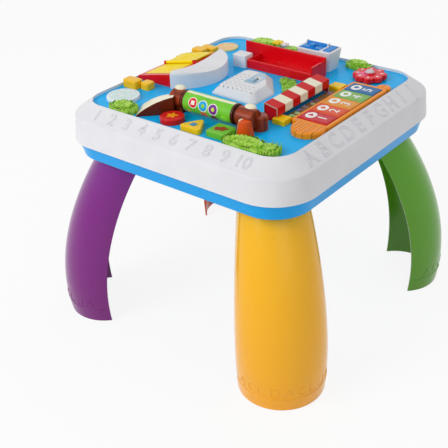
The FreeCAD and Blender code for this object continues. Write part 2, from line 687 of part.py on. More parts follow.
fans = fan(154, near_end, 22, -33, 9, (-10, 0, 10)).fuse(fan(166, far_end, 10, 15, 7, (0,)))
done("fan_ends", free(fans))

# Flip book on a sloping rest, with a white wall behind it
tilt = Rotation(Vector(0, 1, 0), -val("book_slope"))
tan_slope = math.tan(math.radians(val("book_slope")))
b_x, b_w = val("book_x"), val("book_deep")
b_near, b_long = val("book_near"), val("book_long")
b_low = deck + val("book_low")
b_high = b_low + b_w * tan_slope


def wedge(inset, rise):
    corners = [(b_x + inset, deck - (1 if inset else 0)), (b_x + inset, b_low + inset * tan_slope + rise),
               (b_x + b_w - inset, b_high - inset * tan_slope + rise), (b_x + b_w - inset, deck - (1 if inset else 0))]
    points = [Vector(x, b_near + inset, z) for x, z in corners + corners[:1]]
    return Part.Face(Part.makePolygon(points)).extrude(Vector(0, b_long - 2 * inset, 0))


def on_slope(length, width, height, along, across, up):
    """Box on the slope: along runs uphill, across from the spine, up is square to the slope."""
    form = Part.makeBox(length, width, height, Vector(along, across, up))
    return form


origin = Vector(b_x, val("book_spine"), b_low)
lie = Placement(origin, tilt)


def tilted(form):
    form = form.copy()
    form.Placement = lie.multiply(form.Placement)
    return form


p_long, p_wide, p_thick = val("page_long"), val("page_wide"), val("page_thick")
p_start = (b_w / math.cos(math.radians(val("book_slope"))) - p_long) / 2
sunk = p_thick - 0.4
tray = wedge(0, 0).cut(wedge(2.6, -2.6 - sunk))
recess = on_slope(p_long + 0.6, 2 * p_wide + 3, 10, p_start - 0.3, -p_wide - 1.5, -sunk)
tray = tray.cut(tilted(recess))
pin_up = p_thick - sunk + val("page_lift")
pin_r, barrel = val("page_pin_radius"), val("page_barrel")
lugs = []
for along in (p_start - 4, p_start + p_long + 0.6):
    lug = Part.makeCylinder(barrel, 3.4, Vector(along, 0, pin_up), Vector(1, 0, 0))
    lug = lug.fuse(Part.makeBox(3.4, 2 * barrel, pin_up + 0.4, Vector(along, -barrel, -0.4)))
    lugs.append(lug)
pin_way = Part.makeCylinder(pin_r + val("run_gap"), p_long + 7.2, Vector(p_start - 3.3, 0, pin_up), Vector(1, 0, 0))
tray = tray.fuse([tilted(lug) for lug in lugs]).cut(tilted(pin_way))
done("book_rest", free(tray.removeSplitter()))
done("page_pin", free(tilted(Part.makeCylinder(pin_r, p_long + 6.4, Vector(p_start - 2.9, 0, pin_up), Vector(1, 0, 0)))))
done("page_left", free(tilted(on_slope(p_long, p_wide, p_thick, p_start, -p_wide - 1, -sunk))))
done("page_right", free(tilted(on_slope(p_long, p_wide, p_thick, p_start, 1, -sunk))))
leaf = on_slope(p_long - 1, p_wide - 2, 2.2, p_start + 0.5, 0.5, pin_up - 1.1)
leaf = leaf.fuse(Part.makeBox(6, 16, 2.2, Vector(p_start - 5, p_wide - 22, pin_up - 1.1)))
leaf = leaf.fuse(Part.makeCylinder(barrel, p_long - 1, Vector(p_start + 0.5, 0, pin_up), Vector(1, 0, 0)))
leaf = leaf.cut(Part.makeCylinder(pin_r + val("run_gap"), p_long + 4, Vector(p_start - 2, 0, pin_up), Vector(1, 0, 0)))
done("page_leaf", free(tilted(leaf)))

w_x = b_x + b_w + val("seat_gap")
w_near, w_far = b_near - 4, b_near + b_long + 4


def bulge(inset, z):
    ends = [Vector(w_x + inset, w_near + 1.6 * inset, z), Vector(w_x + inset, w_far - 1.6 * inset, z)]
    middle = Vector(w_x + val("wall_bulge") - inset, (w_near + w_far) / 2, z)
    return Part.Wire([Part.Arc(ends[0], middle, ends[1]).toShape(), Part.makeLine(ends[1], ends[0])])


tall = val("wall_tall")
hull = slab(bulge(0, deck), tall)
hull = hull.makeFillet(val("wall_round"), [e for e in hull.Edges if level(deck + tall)(e) and e.BoundBox.XLength > 5])
dish = Part.makeCylinder(260, 200, Vector(w_x - 40, (w_near + w_far) / 2, deck + tall + 254), Vector(1, 0, 0))
hull = hull.cut(dish).cut(slab(bulge(3, deck - 1), tall - 9))
done("book_wall", free(hull))

gold = []
for x, y, length, width, height in ((-160, -91, 28, 18, 13), (-136, -84, 17, 17, 11), (-163, 72, 24, 17, 13), (-158, 92, 28, 16, 11)):
    lump = soften(block(x, y, "deck_height", length, width, height), 4, upright)
    gold.append(soften(lump, 2.5, level(deck + height)))
done("gold_blocks", fuse(*gold))

# Red chute with a white block at its end
c_x, c_y, c_long, c_wide = "chute_x", "chute_y", "chute_long", "chute_wide"
tray_box = block("chute_x + chute_long / 2", "chute_y + chute_wide / 2", "deck_height", c_long, c_wide, "chute_lip")
back = block("chute_x + chute_long / 2 - 14", "chute_y + chute_wide - chute_wall / 2", "deck_height", "chute_long + 28", "chute_wall", "chute_back")
end_wall = block("chute_x + chute_long - chute_wall / 2", "chute_y + chute_wide / 2", "deck_height", "chute_wall", c_wide, "chute_back - 5")
trough = block("chute_x + chute_long / 2", "chute_y + chute_wide / 2", "deck_height + 5", "chute_long - 2 * chute_wall", "chute_wide - 2 * chute_wall", "chute_back")
bowl = post("chute_x + 24", "chute_y + chute_wide / 2", "deck_height + 2.5", "chute_wide / 2 - chute_wall - 1", "20")
chute = fuse(tray_box, back, end_wall)
chute = soften(chute, 1.2, lambda e: abs(e.BoundBox.ZMin - deck) > 0.1 and e.BoundBox.XLength > 40)
done("chute_body", cut(chute, trough, bowl))
cube = block("chute_x - seat_gap - cube_side / 2", "chute_y + 6", "deck_height", "cube_side", "21", "cube_tall")
done("chute_block", soften(cube, 1.5, lambda e: not level(deck)(e)))

# White tapering box with a hinged blue lid
b_top, taper = val("box_top"), val("box_taper")


def box_outline(grow, z):
    x, y = val("box_x"), val("box_y")
    half_x, half_y = val("box_long") / 2 + grow, val("box_wide") / 2 + grow
    points = [(x - half_x, y - half_y), (x + half_x, y - half_y), (x + half_x, y + half_y), (x - half_x, y + half_y)]
    return rounded(points, 6, z)


body = Part.makeLoft([box_outline(-taper, deck), box_outline(0, b_top)], True, True)
hollow = Part.makeLoft([box_outline(-taper - 2.6, deck - 1), box_outline(-2.8, b_top - 6)], True, True)
body = body.makeFillet(1.2, [e for e in body.Edges if level(b_top)(e)]).cut(hollow)
lid_x, lid_y = "box_x - box_long / 2 + 5 + lid_long / 2", "box_y - box_wide / 2 + 4 + lid_wide / 2"
lid_back = "box_y - box_wide / 2 + 4 + lid_wide"
recess = block(lid_x, lid_y + " + 1", "box_top - lid_thick", "lid_long + 1", "lid_wide + 4", "10")
opening = block(lid_x, lid_y, "box_top - 12", "lid_long - 8", "lid_wide - 8", "14")
lug_way = rod("x", "box_x - box_long / 2 + 1.5", lid_back + " + 0.2", "box_top + 1", "lid_pin + run_gap", "lid_long + 7")
lid_lugs = []
for x in ("box_x - box_long / 2 + 3.2", "box_x - box_long / 2 + 6.8 + lid_long"):
    lid_lugs.append(block(x, lid_back + " + 0.2", "box_top - 2", "2.4", "5.4", "5.6"))
panel = block("box_x + box_long / 2 - 11", "box_y", "box_top - 0.5", "12", "26", "2")
done("tower_box", cut(fuse(cut(free(body), recess, opening), *lid_lugs, panel), lug_way))
lid = block(lid_x, lid_y, "box_top - lid_thick + 0.3", "lid_long", "lid_wide", "lid_thick")
barrel_bar = rod("x", "box_x - box_long / 2 + 5", lid_back + " + 0.2", "box_top + 1", "2.2", "lid_long")
stub = rod("x", "box_x - box_long / 2 + 2.4", lid_back + " + 0.2", "box_top + 1", "lid_pin", "lid_long + 5.2")
knob = cone(lid_x, lid_y + " - 3", "box_top - 0.5", "5.5", "4.5", "5.5")
ribs = [block(lid_x, lid_y + " + %d" % y, "box_top", "lid_long - 6", "1.6", "1.5") for y in (-9, 5)]
done("tower_lid", fuse(lid, barrel_bar, stub, knob, *ribs))

# Flower spinner on a stem
f_x, f_y = val("flower_x"), val("flower_y")
petals = slab(scallop(f_x, f_y, val("flower_radius"), val("flower_radius"), 20, 5, deck + 2.2), val("flower_thick"))
petals = petals.makeFillet(1.5, [e for e in petals.Edges if level(deck + 2.2 + val("flower_thick"))(e)])
heart = Part.makeCylinder(9, 2, Vector(f_x, f_y, deck + 1.8 + val("flower_thick")))
petals = petals.fuse(heart).cut(Part.makeCylinder(val("stem_radius") + val("run_gap"), 40, Vector(f_x, f_y, deck)))
done("spinner_flower", free(petals))
stem = [
    post("flower_x", "flower_y", "deck_height", "9", "1.8"),
    post("flower_x", "flower_y", "deck_height", "stem_radius", "flower_thick + 6"),
    cone("flower_x", "flower_y", "deck_height + flower_thick + 4.2", "7", "5", "2.4"),
]
done("spinner_stem", fuse(*stem))

# Speaker cover with sound holes, loudspeaker and mode switch
corners = [(-45, -46), (40, -50), (40, 2), (1, 52), (-47, 48)]
shrink = val("cover_lean")
centre = (-8, 0)


def cover_outline(inset, z):
    points = []
    for x, y in corners:
        reach = math.hypot(x - centre[0], y - centre[1])
        scale = 1 - inset / reach
        points.append((centre[0] + (x - centre[0]) * scale, centre[1] + (y - centre[1]) * scale))
    return rounded(points, 9, z)


c_top, c_wall = deck + val("cover_tall"), val("cover_wall")
dome = Part.makeLoft([cover_outline(0, deck), cover_outline(shrink, c_top)], True, True)
dome = dome.makeFillet(2.5, [e for e in dome.Edges if level(c_top)(e)])
dome = dome.cut(Part.makeLoft([cover_outline(3.4, deck - 0.01), cover_outline(shrink + 3.4, c_top - c_wall)], True, True))
dots = []
for column in range(8):
    for line in range(7):
        if line < (7 if column < 3 else 3):
            spot_x = "-34 + %d * dot_pitch" % column
            spot_y = "-36 + %d * dot_pitch" % line
            dots.append(post(spot_x, spot_y, "deck_height - 1", "dot_radius", "cover_tall + 4"))
switch_x, switch_y = "-1", "8"
top_z = "deck_height + cover_tall"
dish_cut = block(switch_x, switch_y, top_z + " - 0.8", "14", "switch_travel + 16", "3")
slot_cut = block(switch_x, switch_y, top_z + " - 6", "switch_wide + 0.4", "switch_travel + 8.4", "8")
done("speaker_cover", cut(free(dome), dish_cut, slot_cut, *dots))
rest_y = switch_y + " - switch_travel / 2"
switch = [
    block(switch_x, rest_y, top_z + " - 0.6", "10", "10", "3.4"),
    block(switch_x, rest_y, top_z + " - 5", "switch_wide", "8", "5"),
    block(switch_x, rest_y, top_z + " - 5", "10", "10", "2"),
]
done("mode_switch", fuse(*switch))
driver = [
    post("-8", "-8", "under_deck - 3", "cone_radius", "3"),
    cone("-8", "-8", "under_deck - 17", "15", "cone_radius - 3", "14"),
    post("-8", "-8", "under_deck - 26", "17", "9"),
]
done("loudspeaker", fuse(*driver))

# Boards and battery case
chips = [block(board_x, board_y, "shell_inside + 14", "106", "80", "board_thick")]
for x, y, length, width in ((-20, 8, 14, 14), (12, -14, 10, 6), (30, 16, 8, 12)):
    chips.append(block("%s + %d" % (board_x, x), "%s + %d" % (board_y, y), "shell_inside + 14 + board_thick", length, width, "2"))
done("circuit_board", fuse(*chips))
case = block(case_x, case_y, "shell_inside", "case_long", "case_wide", "case_tall")
room = block(case_x, case_y, "shell_inside - 1", "case_long - 2 * case_wall", "case_wide - 2 * case_wall", "case_tall - case_wall + 1")
done("battery_case", cut(soften(case, 3, upright), room))
cell_z = "shell_inside + case_tall - case_wall - cell_radius - 0.2"
cells = []
for n in (-1, 0, 1):
    cells.append(rod("x", case_x + " - cell_long / 2", "%s + %d * cell_pitch" % (case_y, n), cell_z, "cell_radius", "cell_long"))
done("batteries", fuse(*cells))
clips = []
for side in (-1, 1):
    x = "%s + %d * (case_long / 2 - case_wall - 0.6)" % (case_x, side)
    clips.append(block(x, case_y, "shell_inside + 4", "0.8", "case_wide - 2 * case_wall - 6", "case_tall - 9"))
    for n in (-1, 0, 1):
        x0 = case_x + (" + cell_long / 2 + 0.2" if side > 0 else " - case_long / 2 + case_wall + 1")
        clips.append(rod("x", x0, "%s + %d * cell_pitch" % (case_y, n), cell_z, "3", "case_long / 2 - case_wall - 1 - cell_long / 2 - 0.2"))
done("battery_clips", fuse(*clips))
door = block(case_x, case_y, "shell_floor", "case_long - 2 * case_wall - 0.8", "case_wide - 2 * case_wall - 0.8", "shell_wall")
hole = post(case_x + " + case_long / 2 - 9", case_y, "shell_floor - 1", "1.6", "9")
sink = post(case_x + " + case_long / 2 - 9", case_y, "shell_floor - 1", "3.1", "2.2")
done("battery_door", cut(soften(door, 3, upright), hole, sink))
screw = [
    post(case_x + " + case_long / 2 - 9", case_y, "shell_floor", "2.9", "1.2"),
    post(case_x + " + case_long / 2 - 9", case_y, "shell_floor", "1.5", "5"),
]
done("door_screw", fuse(*screw))

doc.recompute()
for item in doc.Objects:
    if "Invalid" in item.State or "Error" in item.State:
        raise RuntimeError("did not build: " + item.Label)
for label, item in parts.items():
    if item.Shape.isNull() or not item.Shape.isValid():
        raise RuntimeError("bad shape: " + label)
    item.Shape.exportStep("parts/%s.step" % label)
    print(label, len(item.Shape.Solids), round(item.Shape.Volume / 1000, 2))
print(len(parts), "parts")
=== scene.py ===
import math
import random

import bmesh
import bpy
from mathutils import Matrix, Vector
from mathutils.bvhtree import BVHTree


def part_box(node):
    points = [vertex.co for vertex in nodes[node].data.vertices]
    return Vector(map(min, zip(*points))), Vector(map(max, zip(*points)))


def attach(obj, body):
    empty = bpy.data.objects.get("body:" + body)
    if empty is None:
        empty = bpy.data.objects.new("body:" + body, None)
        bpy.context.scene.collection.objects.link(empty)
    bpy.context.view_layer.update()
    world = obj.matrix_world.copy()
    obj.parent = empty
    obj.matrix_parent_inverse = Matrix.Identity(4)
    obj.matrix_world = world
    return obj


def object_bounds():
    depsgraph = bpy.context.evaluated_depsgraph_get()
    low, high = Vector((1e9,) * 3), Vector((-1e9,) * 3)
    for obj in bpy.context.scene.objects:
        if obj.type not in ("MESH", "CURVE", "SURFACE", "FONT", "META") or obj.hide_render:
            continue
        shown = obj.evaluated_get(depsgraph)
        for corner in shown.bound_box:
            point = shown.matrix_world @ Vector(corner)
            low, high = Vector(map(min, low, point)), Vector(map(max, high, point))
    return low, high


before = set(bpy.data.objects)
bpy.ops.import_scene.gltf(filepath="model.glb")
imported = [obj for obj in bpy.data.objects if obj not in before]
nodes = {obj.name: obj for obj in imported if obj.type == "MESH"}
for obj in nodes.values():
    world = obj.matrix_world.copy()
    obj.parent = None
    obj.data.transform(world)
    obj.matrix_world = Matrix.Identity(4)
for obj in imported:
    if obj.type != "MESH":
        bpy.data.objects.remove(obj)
cad_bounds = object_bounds()

bl_info = {
    "name": "Musical activity table",
    "version": (1, 0, 0),
    "blender": (4, 5, 0),
    "location": "3D View > Sidebar > Table",
    "description": "Finishes and fine relief of a toddler's activity table",
    "category": "Object",
}

MM = 0.001
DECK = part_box("deck_panel")[1].z
RIM_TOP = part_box("rim_frame")[1].z
RIM_TILT = math.radians(34.86)
LEG_TURNS = {"front_left": 225, "front_right": 315, "back_right": 45, "back_left": 135}
LEG_SLOTS = {
    "front_left": "purple", "front_right": "yellow", "back_right": "green", "back_left": "orange_red",
}
LEG_AXIS = 250 * MM
LEG_RADIUS = 64 * MM
FOOT_SIGNS = [
    [(0, 0), (0.45, 1), (0.9, 0)],
    [(0.9, 0.1), (0.4, 0), (0, 0.5), (0.4, 1), (0.9, 0.9)],
    [(0, 1), (0, 0), (0.7, 0)],
    [(0, 0), (0, 1), (0.8, 1), (0.8, 0), (0, 0)],
]
ROLLER_LOW, ROLLER_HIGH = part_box("roller_sleeve")
ROLLER_AXIS = (ROLLER_LOW + ROLLER_HIGH) / 2
KEY_NAMES = ["one", "two", "three", "four", "five"]
AWNING_STRIPES = 7
PETALS = 8
GREEN_PIECES = ("grass_left", "grass_front", "far_bushes", "leaf_patch")

PATCH_SCALE = 26.0
SHEEN_SPREAD = 0.08
EDGE_SOFTNESS = 0.7 * MM
GRAIN_DEPTH = 0.3 * MM
COAT_SHARE = 0.5
COAT_ROUGHNESS = 0.12
METAL_SHINE = 0.5

UP = Vector((0, 0, 1))
DOWN = Vector((0, 0, -1))
LIT = (1, 1, 1, 1)
AIM = Vector((0, 0, 0.28))
CAMERA_SPOT = Vector((0.72756, -0.95401, 0.83673))


def paint(red, green, blue):
    """Linear colour from a paint-chart value."""
    return tuple(c / 12.92 if c <= 0.04045 else ((c + 0.055) / 1.055) ** 2.4 for c in (red, green, blue))


WHITE = paint(0.91, 0.91, 0.925)
CREAM = paint(0.96, 0.93, 0.83)
INK = paint(0.97, 0.97, 0.96)
IVORY = paint(0.97, 0.96, 0.92)


def colour(label, note, default):
    return bpy.props.FloatVectorProperty(
        name=label, description=note, default=default, size=3, min=0.0, max=1.0, subtype="COLOR"
    )


def length(label, note, default, low, high):
    return bpy.props.FloatProperty(
        name=label, description=note, default=default, min=low, max=high, unit="LENGTH"
    )


class TableColours(bpy.types.PropertyGroup):
    rim: colour("Rim", "White moulded rim and covers", WHITE)
    deck: colour("Deck", "Play deck", paint(0.0, 0.72, 0.99))
    shell: colour("Under shell", "Shell below the rim", paint(0.0, 0.65, 0.95))
    leg_front_left: colour("Front left leg", "Purple leg", paint(0.50, 0.09, 0.53))
    leg_front_right: colour("Front right leg", "Yellow leg", paint(1.0, 0.75, 0.03))
    leg_back_right: colour("Back right leg", "Green leg", paint(0.38, 0.68, 0.12))
    leg_back_left: colour("Back left leg", "Orange leg", paint(0.90, 0.38, 0.08))
    red: colour("Red", "Chute and book rest", paint(0.88, 0.04, 0.10))
    yellow: colour("Yellow", "Stall posts", paint(1.0, 0.82, 0.02))
    leaf: colour("Leaf green", "Grass and bushes", paint(0.50, 0.78, 0.14))
    wood: colour("Log brown", "Logs and ramp", paint(0.55, 0.20, 0.07))
    orange: colour("Orange", "Piano frame and fans", paint(0.97, 0.58, 0.09))
    blue: colour("Lid blue", "Lid of the tower box", paint(0.04, 0.52, 0.86))


class TableSizes(bpy.types.PropertyGroup):
    mark_line: length("Mark line", "Thickness of the raised lines on the rim", 0.6 * MM, 0.1 * MM, 2 * MM)
    numeral: length("Numeral", "Letter size of the rim numerals", 26 * MM, 5 * MM, 32 * MM)
    letter: length("Letter", "Letter size of the rim letters", 33 * MM, 5 * MM, 36 * MM)
    key_mark: length("Key numeral", "Height of the key numerals", 15 * MM, 5 * MM, 25 * MM)
    foot_mark: length("Foot mark", "Height of the marks on the legs", 13 * MM, 4 * MM, 30 * MM)
    blade: length("Leaf blade", "Length of one leaf blade", 9 * MM, 2 * MM, 20 * MM)


class Value:
    """One output socket, ready for arithmetic."""

    def __init__(self, shader, socket):
        self.shader = shader
        self.socket = socket

    def maths(self, operation, *others):
        inputs = dict(enumerate((self,) + others))
        return self.shader.add("ShaderNodeMath", {"operation": operation}, inputs)[0]

    def flipped(self, operation, other):
        return self.shader.add("ShaderNodeMath", {"operation": operation}, {0: other, 1: self})[0]

    def __add__(self, other):
        return self.maths("ADD", other)

    def __radd__(self, other):
        return self.flipped("ADD", other)

    def __sub__(self, other):
        return self.maths("SUBTRACT", other)

    def __rsub__(self, other):
        return self.flipped("SUBTRACT", other)

    def __mul__(self, other):
        return self.maths("MULTIPLY", other)

    def __rmul__(self, other):
        return self.flipped("MULTIPLY", other)

    def __truediv__(self, other):
        return self.maths("DIVIDE", other)

    def __rtruediv__(self, other):
        return self.flipped("DIVIDE", other)

    def __pow__(self, other):
        return self.maths("POWER", other)

    def __rpow__(self, other):
        return self.flipped("POWER", other)

    def __abs__(self):
        return self.maths("ABSOLUTE")


class Added:
    """A node whose outputs are read by name or number."""

    def __init__(self, shader, node):
        self.shader = shader
        self.node = node

    def __getitem__(self, key):
        return Value(self.shader, self.node.outputs[key])


class Nodes:
    """Node tree of a material or a world, filled by one method."""

    def __init__(self, owner):
        owner.use_nodes = True
        self.tree = owner.node_tree
        self.tree.nodes.clear()

    def add(self, kind, settings, inputs):
        node = self.tree.nodes.new(kind)
        for key, setting in settings.items():
            setattr(node, key, setting)
        for key, given in inputs.items():
            if isinstance(given, Value):
                self.tree.links.new(given.socket, node.inputs[key])
            else:
                node.inputs[key].default_value = given
        return Added(self, node)

    def looked_at(self):
        """1 for what the eye sees, be it in a reflection or through a clear piece."""
        path = self.add("ShaderNodeLightPath", {}, {})
        straight = path["Is Camera Ray"].maths("MAXIMUM", path["Is Glossy Ray"])
        return straight.maths("MAXIMUM", path["Is Transmission Ray"])


class Shader(Nodes):
    """One material and the nodes that make its finish."""

    def __init__(self, name):
        self.material = bpy.data.materials.new(name)
        super().__init__(self.material)
        self.place = self.add("ShaderNodeTexCoord", {}, {})["Object"]
        split = self.add("ShaderNodeSeparateXYZ", {}, {0: self.place})
        self.x, self.y, self.z = split["X"], split["Y"], split["Z"]

    def mix(self, factor, first, second):
        """Colour between two colours."""
        pick = {0: factor, 6: rgba(first), 7: rgba(second)}
        return self.add("ShaderNodeMix", {"data_type": "RGBA"}, pick)[2]

    def noise(self, scale, detail=2.0):
        inputs = {"Vector": self.place, "Scale": scale, "Detail": detail}
        return self.add("ShaderNodeTexNoise", {}, inputs)["Fac"]

    def cells(self, scale):
        return self.add("ShaderNodeTexVoronoi", {}, {"Vector": self.place, "Scale": scale})

    def clamp(self, value):
        """A value kept between 0 and 1."""
        return self.add("ShaderNodeClamp", {}, {0: value})[0]

    def within(self, distance, soft=0.2 * MM):
        """1 where a distance is below zero, with a soft edge."""
        return self.clamp(0.5 - distance / soft)

    def disc(self, u, v, centre, radius):
        du, dv = u - centre[0], v - centre[1]
        return self.within((du * du + dv * dv) ** 0.5 - radius)

    def bar(self, u, v, centre, half):
        across = abs(u - centre[0]) - half[0]
        along = abs(v - centre[1]) - half[1]
        return self.within(across.maths("MAXIMUM", along))

    def finish(self, base, rough=0.3, coat=0.15, grain=0.05, metal=0.0, fine=900.0, shine=0.16):
        """Moulded surface: base colour, uneven sheen, fine grain and soft edges."""
        patch = self.noise(PATCH_SCALE)
        sheen = rough + (patch - 0.5) * SHEEN_SPREAD
        soft = self.add("ShaderNodeBevel", {"samples": 4}, {"Radius": EDGE_SOFTNESS})["Normal"]
        relief = {"Strength": grain, "Distance": GRAIN_DEPTH, "Height": self.noise(fine, 3.0), "Normal": soft}
        sockets = {
            "Base Color": base if isinstance(base, Value) else self.shade(base, patch),
            "Roughness": sheen, "Metallic": metal,
            "Normal": self.add("ShaderNodeBump", {}, relief)["Normal"],
            "Coat Weight": coat * COAT_SHARE, "Coat Roughness": COAT_ROUGHNESS,
            "Specular IOR Level": METAL_SHINE if metal else shine,
        }
        glossy = self.add("ShaderNodeBsdfPrincipled", {}, sockets)["BSDF"]
        self.add("ShaderNodeOutputMaterial", {}, {"Surface": glossy})
        return self.material

    def shade(self, base, patch):
        """A colour with the faint unevenness of moulded plastic."""
        return self.mix(patch, scaled(base, 0.94), scaled(base, 1.06))


def rgba(value):
    return value if isinstance(value, Value) else (*value, 1.0)


def scaled(base, factor):
    """A colour made darker or lighter, never past white."""
    return tuple(min(1.0, c * factor) for c in base)


def moulded(name, base, **look):
    return Shader(name).finish(tuple(base), **look)


def dress(material, *names):
    """Give whole CAD pieces one finish."""
    for name in names:
        data = nodes[name].data
        data.materials.clear()
        data.materials.append(material)


def keep(obj, body, material):
    """Add a finished piece to the scene on the body that carries it."""
    obj.data.materials.clear()
    obj.data.materials.append(material)
    link(obj)
    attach(obj, body)


def link(obj):
    bpy.context.scene.collection.objects.link(obj)


def mesh_piece(name, shape):
    """Piece made of the faces built so far."""
    data = bpy.data.meshes.new(name)
    shape.to_mesh(data)
    shape.free()
    return bpy.data.objects.new(name, data)


def prism(shape, outline, place, thick, soft):
    """Raised shape from a flat outline, with its top edge softened."""
    most, least = 0.4, 1e-9
    low = [shape.verts.new(place @ Vector((u, v, 0))) for u, v in outline]
    high = [shape.verts.new(place @ Vector((u, v, thick - soft))) for u, v in outline]
    middle = Vector((sum(u for u, v in outline), sum(v for u, v in outline))) / len(outline)
    inner = []
    for u, v in outline:
        inward = middle - Vector((u, v))
        step = Vector((u, v)) + inward * min(most, soft / max(inward.length, least))
        inner.append(shape.verts.new(place @ Vector((step.x, step.y, thick))))
    count = len(outline)
    for n in range(count):
        m = (n + 1) % count
        shape.faces.new((low[n], low[m], high[m], high[n]))
        shape.faces.new((high[n], high[m], inner[m], inner[n]))
    shape.faces.new(inner)
    shape.faces.new(list(reversed(low)))


def raised(name, outline, place, thick, soft):
    """Piece made of one raised shape."""
    form = bmesh.new()
    prism(form, outline, place, thick, soft)
    return mesh_piece(name, form)


def oval(wide, deep, count=28, wave=0, bite=0.0):
    """Oval outline whose edge can run in and out in waves."""
    points = []
    for n in range(count):
        turn = 2 * math.pi * n / count
        reach = 1 - bite * (0.5 - 0.5 * math.cos(wave * turn))
        points.append((wide * reach * math.cos(turn), deep * reach * math.sin(turn)))
    return points


def star_icon(points, outer, inner):
    """Star outline with one point straight up."""
    outline = []
    for n in range(2 * points):
        reach = outer if n % 2 == 0 else inner
        turn = math.pi * n / points + math.pi / 2
        outline.append((reach * math.cos(turn), reach * math.sin(turn)))
    return outline


def subdivided(shape, parts):
    """Points along an open line, evenly spread over each of its stretches."""
    points = []
    for one, two in zip(shape, shape[1:]):
        for step in range(parts):
            u = one[0] + (two[0] - one[0]) * step / parts
            v = one[1] + (two[1] - one[1]) * step / parts
            points.append((u, v))
    return points + [shape[-1]]


def loop_tube(name, tracks, radius, cyclic=False):
    """Thin raised lines that follow tracks of points."""
    curve = bpy.data.curves.new(name, "CURVE")
    curve.dimensions = "3D"
    curve.bevel_depth = radius
    curve.bevel_resolution = 2
    for track in tracks:
        spline = curve.splines.new("POLY")
        spline.points.add(len(track) - 1)
        for point, spot in zip(spline.points, track):
            point.co = (spot[0], spot[1], spot[2], 1.0)
        spline.use_cyclic_u = cyclic
    return flatten(curve, name)


def flatten(curve, name, place=None):
    """Turn a curve or lettering into plain mesh."""
    holder = bpy.data.objects.new(name + "_line", curve)
    link(holder)
    bpy.context.view_layer.update()
    data = bpy.data.meshes.new_from_object(holder.evaluated_get(bpy.context.evaluated_depsgraph_get()))
    bpy.data.objects.remove(holder)
    if place is not None:
        data.transform(place)
    data.name = name
    data.polygons.foreach_set("use_smooth", [True] * len(data.polygons))
    return bpy.data.objects.new(name, data)


def lettering(name, text, size, place, relief, outline):
    """One raised numeral or letter, solid or as a thin outline."""
    curve = bpy.data.curves.new(name, "FONT")
    curve.body = text
    curve.size = size
    curve.align_x = "CENTER"
    curve.align_y = "CENTER"
    curve.resolution_u = 6
    if outline:
        curve.fill_mode = "NONE"
        curve.bevel_depth = relief
    else:
        curve.extrude = relief
        curve.offset = size * 0.012
    return flatten(curve, name, place)


def axes(right, up, spot):
    """Placement from a right and an up direction."""
    right, up = Vector(right).normalized(), Vector(up).normalized()
    out = right.cross(up)
    grid = Matrix((right, up, out)).transposed().to_4x4()
    grid.translation = Vector(spot)
    return grid


def turned(spot, turn):
    """Placement at a spot, turned about the upright."""
    return Matrix.Translation(spot) @ Matrix.Rotation(turn, 4, "Z")


def surface_of(name):
    """Surface of a CAD piece, to find points on it."""
    data = nodes[name].data
    corners = [vertex.co.copy() for vertex in data.vertices]
    return BVHTree.FromPolygons(corners, [tuple(face.vertices) for face in data.polygons])


class TableStep(bpy.types.Operator):
    """Shared ground of the building steps"""

    bl_options = {"REGISTER", "UNDO"}

    @property
    def colours(self):
        return bpy.context.scene.table_colours

    @property
    def sizes(self):
        return bpy.context.scene.table_sizes


